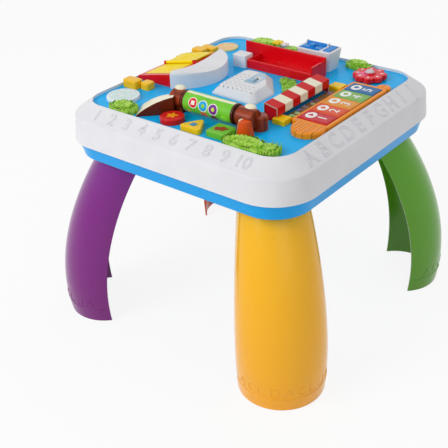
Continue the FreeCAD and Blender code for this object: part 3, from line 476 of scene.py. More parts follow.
class TABLE_OT_housing(TableStep):
    """Rim, play deck, under shell and the pieces inside"""

    bl_idname = "table.housing"
    bl_label = "Housing"

    def execute(self, context):
        tint = self.colours
        white = moulded("white_moulding", tint.rim, rough=0.42, coat=0.12, grain=0.07)
        dress(white, "rim_frame", "book_wall", "chute_block")
        self.deck(tuple(tint.deck))
        dress(moulded("shell_blue", tint.shell, rough=0.3, coat=0.25), "lower_shell", "battery_door")
        steel = moulded("zinc_steel", (0.6, 0.6, 0.62), rough=0.32, coat=0.0, grain=0.12, metal=1.0)
        dress(steel, "leg_screws", "shell_screws", "door_screw", "page_pin", "key_axle", "battery_clips")
        nylon = moulded("grey_nylon", paint(0.82, 0.82, 0.83), rough=0.5)
        dress(nylon, "roller_axle", "spinner_stem", "battery_case")
        rubber = moulded("pad_rubber", paint(0.6, 0.61, 0.63), rough=0.65, coat=0.0, grain=0.15)
        dress(rubber, "button_pads", "key_board")
        dress(moulded("speaker_black", (0.03, 0.03, 0.035), rough=0.55, coat=0.0, grain=0.2), "loudspeaker")
        self.board()
        self.cells()
        self.bead(white)
        return {"FINISHED"}

    def deck(self, blue):
        """Blue deck with a thin darker line just inside its edge, painted shade of the groove there."""
        shader = Shader("deck_blue")
        inset, corner = 5 * MM, 30 * MM
        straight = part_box("deck_panel")[1].x - inset - corner
        u = (abs(shader.x) - straight).maths("MAXIMUM", 0.0)
        v = (abs(shader.y) - straight).maths("MAXIMUM", 0.0)
        away = (u * u + v * v) ** 0.5 - corner
        # Painted shade: the darker line stands in for the shade in the groove near the deck's edge.
        line = shader.within(abs(away) - 0.45 * MM, 0.4 * MM)
        base = shader.mix(shader.noise(9.0), scaled(blue, 0.94), blue)
        base = shader.mix(line * 0.7, base, scaled(blue, 0.55))
        dress(shader.finish(base, rough=0.36, coat=0.1, shine=0.12), "deck_panel")

    def board(self):
        """Green board with thin tracks."""
        shader = Shader("board_green")
        tracks = shader.within(abs((shader.x * 400.0).maths("SINE")) - 0.12, 0.05)
        base = shader.mix(tracks, (0.01, 0.16, 0.06), (0.03, 0.30, 0.12))
        dress(shader.finish(base, rough=0.45, coat=0.1), "circuit_board")

    def cells(self):
        """Dark battery wrap with a copper end."""
        shader = Shader("cell_wrap")
        low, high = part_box("batteries")
        share = 0.28
        cap = shader.within(shader.x - (low.x + (high.x - low.x) * share))
        base = shader.mix(cap, paint(0.13, 0.14, 0.16), paint(0.75, 0.52, 0.25))
        dress(shader.finish(base, rough=0.3, coat=0.3), "batteries")

    def bead(self, white):
        """Fine raised bead where the rim meets the deck."""
        half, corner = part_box("deck_panel")[1].x + 0.6 * MM, 35 * MM
        parts = 8
        track = []
        for quarter in range(4):
            spin = Matrix.Rotation(math.radians(90 * quarter), 2)
            centre = spin @ Vector((half - corner, half - corner))
            for step in range(parts + 1):
                turn = math.radians(90 * quarter + 90 * step / parts)
                spot = centre + Vector((math.cos(turn), math.sin(turn))) * corner
                track.append((spot.x, spot.y, DECK + 0.1 * MM))
        keep(loop_tube("deck_bead", [track], 0.55 * MM, cyclic=True), "table", white)


class TABLE_OT_legs(TableStep):
    """Four channel legs with a ridge and a row of marks at each foot"""

    bl_idname = "table.legs"
    bl_label = "Legs"

    def execute(self, context):
        painted_shade_top, painted_shade_depth = 0.30, 0.34
        for place, turn in LEG_TURNS.items():
            name = "leg_" + place
            shader = Shader(name + "_gloss")
            base = tuple(getattr(self.colours, name))
            # Painted shade: towards the foot each leg's colour turns darker and more orange, standing in for
            # the shade on the lower part of the leg.
            deep = (base[0] * 0.97, base[1] * 0.80, base[2] * 0.8)
            tone = shader.mix(shader.clamp((painted_shade_top - shader.z) / painted_shade_depth), base, deep)
            gloss = shader.finish(tone, rough=0.22, coat=0.5, grain=0.02, fine=500.0, shine=0.3)
            dress(gloss, name)
            self.foot_marks(name, turn, gloss, LEG_SLOTS[place])
        return {"FINISHED"}

    def foot_marks(self, name, turn, gloss, slot):
        """Ridge round the foot with plain line marks above it."""
        skin = surface_of(name)
        tall = self.sizes.foot_mark
        reach = cad_bounds[1][0] - 0.6 * MM
        outside, lift = 200 * MM, 0.1 * MM
        ridge_height, mark_height = 22 * MM, 27 * MM
        lean = math.radians(turn)
        axis = Vector((math.cos(lean), math.sin(lean), 0)) * LEG_AXIS

        def on_leg(sweep, height):
            """Point on the outside of the leg at an angle round it and a height."""
            way = Vector((math.cos(lean + sweep), math.sin(lean + sweep), 0))
            start = axis + way * outside + UP * height
            spot = skin.ray_cast(start, -way)[0] + way * lift
            spot.x = max(-reach, min(reach, spot.x))
            spot.y = max(-reach, min(reach, spot.y))
            return spot

        tracks = [[on_leg(math.radians(sweep), ridge_height) for sweep in range(-84, 85, 4)]]
        for n, sweep in enumerate(range(-64, 65, 16)):
            track = []
            for u, v in subdivided(FOOT_SIGNS[n % len(FOOT_SIGNS)], 4):
                aside = (u - 0.5) * tall / LEG_RADIUS
                track.append(on_leg(math.radians(sweep) + aside, mark_height + v * tall))
            tracks.append(track)
        keep(loop_tube(name + "_marks", tracks, 0.5 * MM), "table", gloss)


class TABLE_OT_rim_marks(TableStep):
    """Raised numerals and letters on the rim slopes"""

    bl_idname = "table.rim_marks"
    bl_label = "Rim marks"

    def execute(self, context):
        # Painted shade: the raised marks are a greyer white than the rim, standing in for the shade along
        # their edges.
        white = moulded("raised_mark_painted_shade", paint(0.865, 0.865, 0.885), rough=0.45, coat=0.0)
        level, rise = math.cos(RIM_TILT), math.sin(RIM_TILT)
        middle, high = 193 * MM, RIM_TOP - 9.75 * MM
        line = self.sizes.mark_line
        first, pitch = -135 * MM, 29.4 * MM
        for n in range(10):
            place = axes((1, 0, 0), (0, level, rise), (first + n * pitch, -middle, high))
            mark = lettering("rim_numeral_%d" % (n + 1), str(n + 1), self.sizes.numeral, place, line, True)
            keep(mark, "table", white)
        first, pitch = -134 * MM, 30 * MM
        for n, letter in enumerate("ABCDEFGHIJ"):
            place = axes((0, 1, 0), (-level, 0, rise), (middle, first + n * pitch, high))
            mark = lettering("rim_letter_" + letter, letter, self.sizes.letter, place, line, True)
            keep(mark, "table", white)
        return {"FINISHED"}


class TABLE_OT_roller(TableStep):
    """Printed roller, logs, ramp and their caps"""

    bl_idname = "table.roller"
    bl_label = "Roller"

    def execute(self, context):
        wood = self.colours.wood
        dress(self.wrap(), "roller_sleeve")
        dress(self.timber(wood), "log_left", "log_right")
        dress(self.ramp_finish(wood), "ramp")
        dress(self.paw_finish(), "log_paw")
        dress(moulded("cap_cream", CREAM, rough=0.35, coat=0.2), "oval_caps")
        self.rings()
        return {"FINISHED"}

    def wrap(self):
        """Green wrap with plain coloured shapes round the roller, and a painted highlight along its top."""
        shader = Shader("roller_wrap")
        along = shader.x
        radius = (ROLLER_HIGH.z - ROLLER_LOW.z) / 2
        around = (shader.z - ROLLER_AXIS.z).maths("ARCTAN2", ROLLER_AXIS.y - shader.y) * radius
        painted_highlight_low, painted_highlight_wave, painted_highlight_high = 18 * MM, 3 * MM, 25 * MM
        base = shader.mix(shader.noise(45.0), paint(0.38, 0.74, 0.14), paint(0.52, 0.84, 0.22))
        # Painted highlight: the pale cream strip along the top of the roller stands in for the highlight
        # there.
        band = shader.within(painted_highlight_low + shader.noise(70.0) * painted_highlight_wave - around)
        base = shader.mix(band, base, paint(0.97, 0.95, 0.80))
        front = shader.within(around - painted_highlight_high)
        base = shader.mix(front, paint(0.45, 0.80, 0.18), base)
        medal_edge = 1.2
        looks = []
        for place, height, wide, tone in (
            (22, 6, 8.0, paint(0.88, 0.06, 0.10)),
            (40, 5, 8.4, paint(0.04, 0.66, 0.90)),
            (58, 4, 8.4, paint(0.46, 0.12, 0.58)),
        ):
            looks.append((shader.disc, place, height, wide, IVORY))
            looks.append((shader.disc, place, height, wide - medal_edge, tone))
        looks += [
            (shader.bar, 22, 6, (3, 3), IVORY),
            (shader.disc, 40, 5, 3, paint(0.55, 0.82, 0.25)),
            (shader.disc, 58, 4, 3, paint(0.80, 0.86, 0.30)),
            (shader.bar, 41, -9, (6, 5), paint(0.93, 0.38, 0.07)),
            (shader.disc, 59, -11, 6.5, paint(0.55, 0.22, 0.07)),
            (shader.disc, 77, -6, 6, paint(0.55, 0.90, 0.18)),
            (shader.disc, 13, -11, 5, paint(0.95, 0.85, 0.20)),
        ]
        for mask, place, height, wide, tone in looks:
            reach = tuple(w * MM for w in wide) if isinstance(wide, tuple) else wide * MM
            centre = (ROLLER_LOW.x + place * MM, height * MM)
            base = shader.mix(mask(along, around, centre, reach), base, tone)
        end_ring = 3.5 * MM
        plain = (ROLLER_HIGH.x - ROLLER_LOW.x) / 2 - end_ring
        base = shader.mix(shader.within(plain - abs(along - ROLLER_AXIS.x)), base, paint(0.30, 0.10, 0.04))
        return shader.finish(base, rough=0.26, coat=0.5, grain=0.02)

    def timber(self, wood):
        """Brown plastic with streaks like wood."""
        shader = Shader("log_gloss")
        streak = shader.add("ShaderNodeTexWave", {"bands_direction": "Y"}, {
            "Vector": shader.place, "Scale": 28.0, "Distortion": 5.0, "Detail": 2.0, "Detail Scale": 2.0,
        })["Fac"]
        base = shader.mix(streak, scaled(wood, 0.72), scaled(wood, 1.35))
        return shader.finish(base, rough=0.28, coat=0.4, grain=0.05)

    def ramp_finish(self, wood):
        """Cream upper side, dark brown below."""
        shader = Shader("ramp_two_tone")
        normal = shader.add("ShaderNodeNewGeometry", {}, {})["Normal"]
        upward = shader.add("ShaderNodeSeparateXYZ", {}, {0: normal})["Z"]
        mask = shader.within(0.45 - upward, 0.1)
        base = shader.mix(mask, scaled(wood, 0.5), CREAM)
        return shader.finish(base, rough=0.3, coat=0.3)

    def paw_finish(self):
        """Orange with a cream stripe down its left side."""
        shader = Shader("paw_orange")
        low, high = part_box("log_paw")
        share, lean, paw_height = 0.13, 0.19, 21 * MM
        edge = low.x + (high.x - low.x) * share + (DECK + paw_height - high.z)
        stripe = shader.within(shader.x - (shader.z - DECK) * lean - edge, 0.6 * MM)
        base = shader.mix(stripe, paint(0.90, 0.33, 0.07), CREAM)
        return shader.finish(base, rough=0.3, coat=0.3)

    def rings(self):
        """Grooved rings where the roller meets the logs."""
        dark = moulded("ring_dark", paint(0.24, 0.08, 0.04), rough=0.35, coat=0.3)
        away, radius, count = 3 * MM, 13.6 * MM, 40
        for side, place in (("left", ROLLER_LOW.x - away), ("right", ROLLER_HIGH.x + away)):
            track = []
            for n in range(count):
                turn = 2 * math.pi * n / count
                y, z = radius * math.cos(turn), radius * math.sin(turn)
                track.append((place, ROLLER_AXIS.y + y, ROLLER_AXIS.z + z))
            keep(loop_tube("log_ring_" + side, [track], 0.7 * MM, cyclic=True), "table", dark)


class TABLE_OT_buttons(TableStep):
    """Round, triangular and square buttons with a raised sign on each"""

    bl_idname = "table.buttons"
    bl_label = "Buttons"

    def execute(self, context):
        buttons = [
            ("circle", "red", "red", paint(0.84, 0.10, 0.10),
             star_icon(5, 9.5 * MM, 5 * MM), paint(0.96, 0.62, 0.08), 0.3, 0.0),
            ("triangle", "yellow", "button_yellow", paint(0.99, 0.80, 0.06),
             oval(6 * MM, 6 * MM, 4), paint(0.10, 0.55, 0.75), 0.6, 4.5 * MM),
            ("square", "green", "button_green", paint(0.44, 0.76, 0.18),
             oval(11 * MM, 6.5 * MM, 30, 5, 0.3), paint(0.62, 0.14, 0.12), 0.4, 0.0),
        ]
        for shape, tint, slot, tone, outline, sign_tone, spin, drop in buttons:
            dress(moulded("button_" + tint, tone, rough=0.28, coat=0.4), "button_" + shape)
            low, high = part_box("button_" + shape)
            centre = (low + high) / 2
            place = turned((centre.x, centre.y - drop, high.z - 0.2 * MM), spin)
            sign = raised(shape + "_sign", outline, place, 1.0 * MM, 0.4 * MM)
            finish = moulded(shape + "_sign_tone", sign_tone, rough=0.3, coat=0.3)
            keep(sign, shape + "_button", finish)
            self.border(shape, low, high, bpy.data.materials["button_" + tint], slot)
        return {"FINISHED"}

    def border(self, shape, low, high, plain, slot):
        """Fine line that follows the button's edge, in the button's own material."""
        centre = (low + high) / 2
        count, start, scale, drop = {
            "circle": (40, 0.0, 0.78, 0.0),
            "square": (4, math.pi / 4, 1.02, 0.0),
            "triangle": (3, math.pi / 2, 0.75, 6.0 * MM),
        }[shape]
        reach = (high.x - low.x) / 2 * scale
        track = []
        for n in range(count):
            turn = start + 2 * math.pi * n / count
            spot = (centre.x + math.cos(turn) * reach, centre.y + math.sin(turn) * reach - drop, high.z)
            track.append(spot)
        keep(loop_tube(shape + "_border", [track], 0.45 * MM, cyclic=True), shape + "_button", plain)


class TABLE_OT_piano(TableStep):
    """Piano frame, five numbered keys and the ribbed fans"""

    bl_idname = "table.piano"
    bl_label = "Piano"

    def execute(self, context):
        dress(moulded("frame_orange", self.colours.orange, rough=0.3, coat=0.2), "piano_frame")
        dress(self.fan_with_painted_shade(tuple(self.colours.orange)), "fan_ends")
        keys = [
            (paint(0.80, 0.03, 0.12), "key_crimson"),
            (paint(0.88, 0.30, 0.07), "key_orange"),
            (paint(0.90, 0.58, 0.12), "key_gold"),
            (paint(0.50, 0.70, 0.30), "key_green"),
            (paint(0.02, 0.40, 0.64), "key_blue"),
        ]
        white = moulded("key_white", INK, rough=0.35, coat=0.2)
        for n, (tone, slot) in enumerate(keys):
            node, body = "key_%d" % (n + 1), "key_" + KEY_NAMES[n]
            finish = moulded(node + "_gloss", tone, rough=0.28, coat=0.4)
            dress(finish, node)
            self.key_marks(n, node, body, finish, white, slot)
        return {"FINISHED"}

    def key_marks(self, n, node, body, finish, white, slot):
        """Numeral, star on a white oval, and edge line."""
        low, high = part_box(node)
        middle = (low.y + high.y) / 2
        numeral_at, sign_at = high.x - 15 * MM, low.x + 13.5 * MM
        size = self.sizes.key_mark * 1.35
        place = axes((0, 1, 0), (-1, 0, 0), (numeral_at, middle, high.z))
        keep(lettering(node + "_numeral", str(n + 1), size, place, 0.35 * MM, False), body, white)
        place = Matrix.Translation((sign_at, middle, high.z - 0.1 * MM))
        keep(raised(node + "_oval", oval(8 * MM, 9.5 * MM), place, 0.5 * MM, 0.2 * MM), body, white)
        place = Matrix.Translation((sign_at, middle, high.z + 0.35 * MM))
        star = star_icon(3 + n, 4.6 * MM, 2.8 * MM)
        keep(raised(node + "_sign", star, place, 0.4 * MM, 0.15 * MM), body, finish)
        inset = 2.6 * MM
        left, right = low.x + inset, high.x - inset
        near, far = low.y + inset, high.y - inset
        corners = [(x, y, high.z) for x, y in ((left, near), (right, near), (right, far), (left, far))]
        keep(loop_tube(node + "_line", [corners], 0.35 * MM, cyclic=True), body, finish)

    def fan_with_painted_shade(self, orange):
        """Orange with painted shade: darker lines in the grooves of the fans."""
        shader = Shader("fan_orange_painted_groove_shade")
        first, pitch, near_edge = 154 * MM, 11 * MM, 70 * MM
        spread = ((shader.x - first) / pitch).maths("FRACT")
        # Painted shade in the grooves, on the near part of each fan.
        line = shader.within(abs(spread - 0.5) - 0.07, 0.06)
        near = shader.within(shader.y + near_edge)
        base = shader.mix(line * near * 0.75, orange, scaled(orange, 0.42))
        return shader.finish(base, rough=0.3, coat=0.25)


class TABLE_OT_stall(TableStep):
    """Striped awning, its posts and the strip of plain pictures"""

    bl_idname = "table.stall"
    bl_label = "Stall"

    def execute(self, context):
        low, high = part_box("awning")
        wide = (high.y - low.y) / AWNING_STRIPES
        self.stripes(low, wide)
        dress(moulded("post_yellow", self.colours.yellow, rough=0.3, coat=0.35), "stall_posts")
        self.pictures()
        cream = moulded("stripe_cream", CREAM, rough=0.32, coat=0.3)
        red = moulded("stripe_red", paint(0.84, 0.05, 0.08), rough=0.32, coat=0.3)
        self.cheeks(low, high, red)
        self.scallops(low, high, wide, (red, cream))
        return {"FINISHED"}

    def stripes(self, low, wide):
        """Red and cream stripes across the awning."""
        shader = Shader("awning_stripes")
        band = ((shader.y - low.y) / (2 * wide)).maths("FRACT")
        red = shader.within(abs(band - 0.25) - 0.25, 0.01)
        base = shader.mix(red, CREAM, paint(0.82, 0.03, 0.06))
        dress(shader.finish(base, rough=0.34, coat=0.1, shine=0.12), "awning")

    def pictures(self):
        """Round blots of colour on brown, in place of pictures."""
        shader = Shader("picture_print")
        cells = shader.cells(95.0)
        faded = {"Saturation": 0.75, "Value": 0.75, "Color": cells["Color"]}
        tint = shader.add("ShaderNodeHueSaturation", {}, faded)[0]
        mask = shader.within(cells["Distance"] - 0.42, 0.08)
        base = shader.mix(mask, paint(0.50, 0.36, 0.20), tint)
        dress(shader.finish(base, rough=0.35, coat=0.2), "picture_strip")

    def cheeks(self, low, high, red):
        """Red end plates of the awning."""
        thick, lift, margin = 1.2 * MM, 0.6 * MM, 1.4 * MM
        left, right = low.x + lift, high.x - margin
        ends = [
            (left, DECK + lift), (right, DECK + lift), (right, high.z - 5.4 * MM), (left, high.z - margin),
        ]
        for side, edge in (("near", low.y), ("far", high.y - thick)):
            place = axes((1, 0, 0), (0, 0, 1), (0, edge + thick, 0))
            cheek = raised("awning_cheek_" + side, ends, place, thick, 0.2 * MM)
            keep(cheek, "table", red)

    def scallops(self, low, high, wide, tones):
        """Round flaps along the front of the awning."""
        half, top, drop, parts = wide * 0.47, 1.5 * MM, 2.2 * MM, 10
        points = [(-half, top)]
        for step in range(parts + 1):
            turn = math.pi + math.pi * step / parts
            points.append((half * math.cos(turn), drop * math.sin(turn)))
        points.append((half, top))
        for n in range(AWNING_STRIPES):
            spot = (high.x - 0.3 * MM, low.y + wide * (n + 0.5), DECK + 11.2 * MM)
            place = axes((0, 1, 0), (0, 0, 1), spot)
            flap = raised("awning_scallop_%d" % n, points, place, 0.9 * MM, 0.3 * MM)
            keep(flap, "table", tones[n % 2])


class TABLE_OT_book(TableStep):
    """Flip book on its rest, with the gold blocks beside it"""

    bl_idname = "table.book"
    bl_label = "Book"

    def execute(self, context):
        dress(moulded("toy_red", self.colours.red, rough=0.27, coat=0.4), "book_rest")
        page = moulded("page_yellow", paint(1.0, 0.88, 0.06), rough=0.36, coat=0.1)
        dress(page, "page_left", "page_leaf")
        dress(moulded("page_orange", paint(0.95, 0.50, 0.08), rough=0.36, coat=0.2), "page_right")
        dress(moulded("gold_block", paint(1.0, 0.77, 0.12), rough=0.28, coat=0.3), "gold_blocks")
        self.page_lines(page)
        return {"FINISHED"}

    def page_lines(self, page):
        """Raised lines on the fixed page and on the leaf that turns."""
        rows, row_pitch, parts = 4, 9 * MM, 11
        left_margin, margins = 12 * MM, 22 * MM
        wave, wave_rate, lift = 1.6 * MM, 0.9, 0.15 * MM
        for name, body in (("page_left", "table"), ("page_leaf", "page")):
            skin = surface_of(name)
            low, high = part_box(name)
            above = high.z + 50 * MM
            tracks = []
            for row in range(rows):
                track = []
                across = (low.y + high.y) / 2 + (row - (rows - 1) / 2) * row_pitch
                for step in range(parts + 1):
                    along = low.x + left_margin + (high.x - low.x - margins) * step / parts
                    sway = wave * math.sin(step * wave_rate + row)
                    hit = skin.ray_cast(Vector((along, across + sway, above)), DOWN)[0]
                    if hit is not None:
                        track.append(hit + UP * lift)
                if len(track) > 2:
                    tracks.append(track)
            keep(loop_tube(name + "_lines", tracks, 0.5 * MM), body, page)


class TABLE_OT_chute(TableStep):
    """Red chute, tower box with its blue lid, and the flower spinner"""

    bl_idname = "table.chute"
    bl_label = "Chute, box and flower"

    def execute(self, context):
        dress(bpy.data.materials["toy_red"], "chute_body")
        self.box_finish()
        dress(moulded("lid_blue", self.colours.blue, rough=0.27, coat=0.4), "tower_lid")
        self.flower()
        return {"FINISHED"}

    def box_finish(self):
        """White box with a blue panel on its top, beside the lid."""
        shader = Shader("box_white_blue")
        centre, half, height = (51 * MM, 136 * MM), (6.2 * MM, 13.2 * MM), 32.1 * MM
        panel = shader.bar(shader.x, shader.y, centre, half)
        high = shader.within(DECK + height - shader.z)
        base = shader.mix(panel * high, tuple(self.colours.rim), tuple(self.colours.blue))
        dress(shader.finish(base, rough=0.36, coat=0.2), "tower_box")

    def flower(self):
        """Red flower with fine rays, one pink patch and a pale spot on each petal."""
        low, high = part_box("spinner_flower")
        shader = Shader("flower_petals")
        x, y = (low.x + high.x) / 2, (low.y + high.y) / 2
        turn = (shader.y - y).maths("ARCTAN2", shader.x - x)
        rays = shader.within((turn * (2.0 * PETALS)).maths("SINE") - 0.2, 0.3)
        base = shader.mix(rays, paint(0.84, 0.06, 0.12), paint(0.92, 0.16, 0.20))
        patch = shader.disc(shader.x, shader.y, (x - 7 * MM, y - 8 * MM), 8.5 * MM)
        base = shader.mix(patch, base, paint(0.93, 0.35, 0.52))
        dress(shader.finish(base, rough=0.3, coat=0.35), "spinner_flower")
        spots = moulded("petal_spot", paint(0.98, 0.86, 0.88), rough=0.35)
        reach, sunk = 18.5 * MM, 1.8 * MM
        for n in range(PETALS):
            turn = 2 * math.pi * (n + 0.5) / PETALS
            place = turned((x + reach * math.cos(turn), y + reach * math.sin(turn), high.z - sunk), turn)
            spot = raised("petal_spot_%d" % n, oval(2.6 * MM, 1.8 * MM, 16), place, 0.6 * MM, 0.2 * MM)
            keep(spot, "flower", spots)


class TABLE_OT_greenery(TableStep):
    """Leaf blades over the grass and bushes, with two small blossoms"""

    bl_idname = "table.greenery"
    bl_label = "Greenery"

    def execute(self, context):
        leaf = tuple(self.colours.leaf)
        shader = Shader("leaf_plastic_painted_highlights")
        # Lighter towards the top: partly the paler leaf tips, partly painted highlight on the tops of the
        # tufts.
        lift = shader.clamp((shader.z - DECK - 4 * MM) / (12 * MM))
        base = shader.mix(lift, scaled(leaf, 0.85), paint(0.70, 0.90, 0.28))
        # Painted highlight: pale flecks scattered over the leaves.
        painted_highlight_fleck = shader.within(0.5 - shader.noise(150.0), 0.2) * 0.5
        base = shader.mix(painted_highlight_fleck, base, paint(0.80, 0.93, 0.45))
        green = shader.finish(base, rough=0.36, coat=0.2)
        dress(green, *GREEN_PIECES)
        dice = random.Random(7)
        for name in GREEN_PIECES:
            self.blades(name, green, dice)
        self.blossom("blossom_yellow", -66 * MM, 160 * MM, paint(0.99, 0.86, 0.10), 10 * MM)
        self.blossom("blossom_white", -50 * MM, 158 * MM, paint(0.98, 0.92, 0.92), 7 * MM)
        return {"FINISHED"}

    def blades(self, name, green, dice):
        """Small pointed leaves that lie every way over the top of one piece."""
        skin = surface_of(name)
        low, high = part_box(name)
        form = bmesh.new()
        fewest, most, per_area = 30, 160, 60000
        above, lowest, sunk = high.z + 20 * MM, DECK + 1.5 * MM, 0.4 * MM
        count = int((high.x - low.x) * (high.y - low.y) * per_area)
        for n in range(min(most, max(fewest, count))):
            spot = Vector((dice.uniform(low.x, high.x), dice.uniform(low.y, high.y), above))
            hit = skin.ray_cast(spot, DOWN)[0]
            if hit is None or hit.z < lowest:
                continue
            heading = dice.uniform(0, 2 * math.pi)
            reach = self.sizes.blade * dice.uniform(0.6, 1.0)
            wide = reach * 0.2
            ahead = Vector((math.cos(heading), math.sin(heading), 0))
            aside = Vector((-ahead.y, ahead.x, 0))
            rise = reach * dice.uniform(0.12, 0.28)
            rows = []
            for along, spread, lift in ((0, 0.3, 0.0), (0.35, 1.0, 0.7), (0.75, 0.7, 1.0), (1.0, 0.05, 0.75)):
                middle = hit + ahead * (along - 0.5) * reach + UP * (rise * lift - sunk)
                left = form.verts.new(middle + aside * wide * spread)
                crest = form.verts.new(middle + UP * (wide * 0.55 * spread))
                right = form.verts.new(middle - aside * wide * spread)
                rows.append((left, crest, right))
            for one, two in zip(rows, rows[1:]):
                form.faces.new((one[1], one[0], two[0], two[1]))
                form.faces.new((one[2], one[1], two[1], two[2]))
        if name.startswith("grass"):
            self.fringe(form, skin, low, high, dice)
        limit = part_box("rim_frame")[1].x - 33 * MM
        for vert in form.verts:
            vert.co.x = max(-limit, min(limit, vert.co.x))
            vert.co.y = max(-limit, min(limit, vert.co.y))
        keep(mesh_piece(name + "_blades", form), "table", green)

    def fringe(self, form, skin, low, high, dice):
        """Upright blades side by side round the foot of a tuft of grass."""
        count, outside, half_wide, fold = 72, 90 * MM, 1.9 * MM, 0.9 * MM
        middle = (low + high) / 2
        for n in range(count):
            turn = 2 * math.pi * (n + dice.uniform(-0.3, 0.3)) / count
            way = Vector((math.cos(turn), math.sin(turn), 0))
            start = Vector((middle.x, middle.y, DECK + 3 * MM)) + way * outside
            hit = skin.ray_cast(start, -way)[0]
            if hit is None:
                continue
            aside = Vector((-way.y, way.x, 0))
            tall = (high.z - DECK) * dice.uniform(0.75, 1.0)
            lean = dice.uniform(-1.5, 1.5) * MM
            rows = []
            for climb, spread, out in ((0, 1.0, 0.4), (0.5, 1.1, 0.9), (0.85, 0.6, 0.5), (1.0, 0.05, -0.6)):
                point = Vector((hit.x, hit.y, DECK + 0.1 * MM + tall * climb))
                point += way * out * MM + aside * lean * climb
                half = aside * half_wide * spread
                across = (point - half, point + way * fold, point + half)
                rows.append([form.verts.new(spot) for spot in across])
            for one, two in zip(rows, rows[1:]):
                form.faces.new((one[0], one[1], two[1], two[0]))
                form.faces.new((one[1], one[2], two[2], two[1]))

    def blossom(self, name, x, y, tone, reach):
        """Small flower with a round heart, on a bush."""
        form = bmesh.new()
        high = DECK + 14.5 * MM
        heart = reach * 0.35
        prism(form, oval(reach, reach, 60, 6, 0.3), Matrix.Translation((x, y, high - 1 * MM)), 3 * MM, 1 * MM)
        spot = Matrix.Translation((x, y, high + 1.8 * MM))
        prism(form, oval(heart, heart, 20), spot, 1.4 * MM, 0.5 * MM)
        finish = moulded(name + "_tone", tone, rough=0.34, coat=0.2)
        keep(mesh_piece(name, form), "table", finish)


class TABLE_OT_prints(TableStep):
    """Corner discs, speaker cover and mode switch"""

    bl_idname = "table.prints"
    bl_label = "Discs and speaker"

    def execute(self, context):
        self.disc("disc_left", 4 * MM, paint(0.93, 0.95, 0.95), paint(0.72, 0.88, 0.86))
        self.disc("disc_back", 2 * MM, paint(0.95, 0.88, 0.62), paint(0.95, 0.66, 0.42))
        self.cover()
        dress(moulded("switch_blue", paint(0.62, 0.76, 0.84), rough=0.3, coat=0.3), "mode_switch")
        return {"FINISHED"}

    def cover(self):
        """White cover with a pale blue label, tinted blue at its foot."""
        shader = Shader("speaker_white")
        centre, top, foot = (0.0, 14 * MM), 12.4 * MM, 2 * MM
        panel = shader.bar(shader.x, shader.y, centre, (11 * MM, 22 * MM))
        inset = shader.bar(shader.x, shader.y, centre, (10 * MM, 21 * MM))
        high = shader.within(DECK + top - shader.z)
        base = shader.mix(panel * high, tuple(self.colours.rim), paint(0.56, 0.70, 0.80))
        base = shader.mix(inset * high, base, paint(0.72, 0.82, 0.88))
        edge = shader.within(shader.z - DECK - foot, 1 * MM)
        base = shader.mix(edge * 0.5, base, paint(0.55, 0.75, 0.90))
        dress(shader.finish(base, rough=0.4, coat=0.15), "speaker_cover")

    def disc(self, name, border, base, accent):
        """Disc with a plain border round faint blots of colour."""
        low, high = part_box(name)
        shader = Shader(name + "_print")
        centre = ((low.x + high.x) / 2, (low.y + high.y) / 2)
        radius = (high.x - low.x) / 2 - border
        cells = shader.cells(110.0)
        tint = shader.mix(0.72, cells["Color"], base)
        blot = shader.within(cells["Distance"] - 0.4, 0.1)
        inner = shader.mix(blot, accent, tint)
        inside = shader.disc(shader.x, shader.y, centre, radius - 1 * MM)
        ring = shader.disc(shader.x, shader.y, centre, radius)
        tone = shader.mix(ring, base, accent)
        tone = shader.mix(inside, tone, shader.mix(0.45, inner, base))
        dress(shader.finish(tone, rough=0.34, coat=0.25), name)


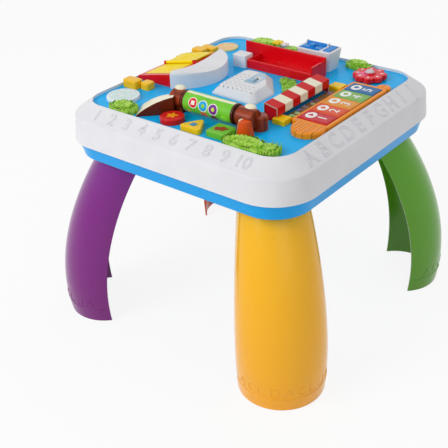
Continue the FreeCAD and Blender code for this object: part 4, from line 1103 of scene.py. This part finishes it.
class TABLE_OT_stage(TableStep):
    """Pale floor, soft lamps and the camera"""

    bl_idname = "table.stage"
    bl_label = "Stage"

    def execute(self, context):
        self.floor()
        self.world()
        self.lamp("key_lamp", (-0.9, -2.2, 1.9), 1.3, 33.0)
        self.lamp("fill_lamp", (1.9, -1.2, 1.5), 1.4, 3.0)
        self.lamp("back_lamp", (0.3, 1.8, 2.2), 1.6, 7.0)
        self.camera()
        context.scene.view_settings.view_transform = "Standard"
        return {"FINISHED"}

    def floor(self):
        """Nearly white floor that still takes a soft shadow."""
        form = bmesh.new()
        bmesh.ops.create_grid(form, x_segments=8, y_segments=8, size=5.0)
        plane = mesh_piece("floor", form)
        link(plane)
        shader = Shader("floor_white")
        matte = shader.add("ShaderNodeBsdfDiffuse", {}, {"Color": (0.93, 0.93, 0.93, 1)})["BSDF"]
        glow = shader.add("ShaderNodeEmission", {}, {"Color": LIT, "Strength": 1.0})["Emission"]
        parts = {0: shader.looked_at() * 0.88, 1: matte, 2: glow}
        surface = shader.add("ShaderNodeMixShader", {}, parts)["Shader"]
        shader.add("ShaderNodeOutputMaterial", {}, {"Surface": surface})
        plane.data.materials.append(shader.material)
        plane.location.z = -0.2 * MM

    def world(self):
        """White to the eye, dimmer as light on the pieces."""
        world = bpy.data.worlds.new("studio")
        bpy.context.scene.world = world
        sky = Nodes(world)
        dim = sky.add("ShaderNodeBackground", {}, {"Color": LIT, "Strength": 0.52})["Background"]
        white = sky.add("ShaderNodeBackground", {}, {"Color": LIT, "Strength": 1.0})["Background"]
        surface = sky.add("ShaderNodeMixShader", {}, {0: sky.looked_at(), 1: dim, 2: white})["Shader"]
        sky.add("ShaderNodeOutputWorld", {}, {"Surface": surface})

    def lamp(self, name, spot, size, power):
        """Square lamp turned towards the table."""
        data = bpy.data.lights.new(name, "AREA")
        data.size = size
        data.energy = power
        lamp = bpy.data.objects.new(name, data)
        lamp.location = spot
        lamp.rotation_euler = (AIM - Vector(spot)).to_track_quat("-Z", "Y").to_euler()
        link(lamp)

    def camera(self):
        """View from above the front right corner."""
        turn, lift, roll = math.radians(39.6), math.radians(30.92), math.radians(-2.39)
        back = Vector((math.sin(turn) * math.cos(lift), -math.cos(turn) * math.cos(lift), math.sin(lift)))
        right = (-back).cross(UP).normalized()
        up = right.cross(-back)
        level_right = math.cos(roll) * right + math.sin(roll) * up
        level_up = -math.sin(roll) * right + math.cos(roll) * up
        data = bpy.data.cameras.new("camera")
        data.lens = 68.19
        data.sensor_width = 36.0
        data.shift_x = -0.0052
        data.shift_y = 0.0033
        data.clip_end = 30.0
        camera = bpy.data.objects.new("camera", data)
        grid = Matrix((level_right, level_up, back)).transposed().to_4x4()
        grid.translation = CAMERA_SPOT
        camera.matrix_world = grid
        link(camera)
        bpy.context.scene.camera = camera


STEPS = [
    TABLE_OT_housing, TABLE_OT_legs, TABLE_OT_rim_marks, TABLE_OT_roller, TABLE_OT_buttons, TABLE_OT_piano,
    TABLE_OT_stall, TABLE_OT_book, TABLE_OT_chute, TABLE_OT_greenery, TABLE_OT_prints, TABLE_OT_stage,
]


class TABLE_PT_panel(bpy.types.Panel):
    """Colours, sizes and building steps of the table"""

    bl_label = "Activity table"
    bl_idname = "TABLE_PT_panel"
    bl_space_type = "VIEW_3D"
    bl_region_type = "UI"
    bl_category = "Table"

    def draw(self, context):
        for group in (context.scene.table_colours, context.scene.table_sizes):
            box = self.layout.box()
            for name in group.__annotations__:
                box.prop(group, name)
        for step in STEPS:
            self.layout.operator(step.bl_idname)


CLASSES = [TableColours, TableSizes, *STEPS, TABLE_PT_panel]


def register():
    for entry in CLASSES:
        bpy.utils.register_class(entry)
    bpy.types.Scene.table_colours = bpy.props.PointerProperty(type=TableColours)
    bpy.types.Scene.table_sizes = bpy.props.PointerProperty(type=TableSizes)


def unregister():
    del bpy.types.Scene.table_sizes
    del bpy.types.Scene.table_colours
    for entry in reversed(CLASSES):
        bpy.utils.unregister_class(entry)


def main():
    register()
    for step in STEPS:
        group, action = step.bl_idname.split(".")
        getattr(getattr(bpy.ops, group), action)()


if __name__ == "__main__":
    main()
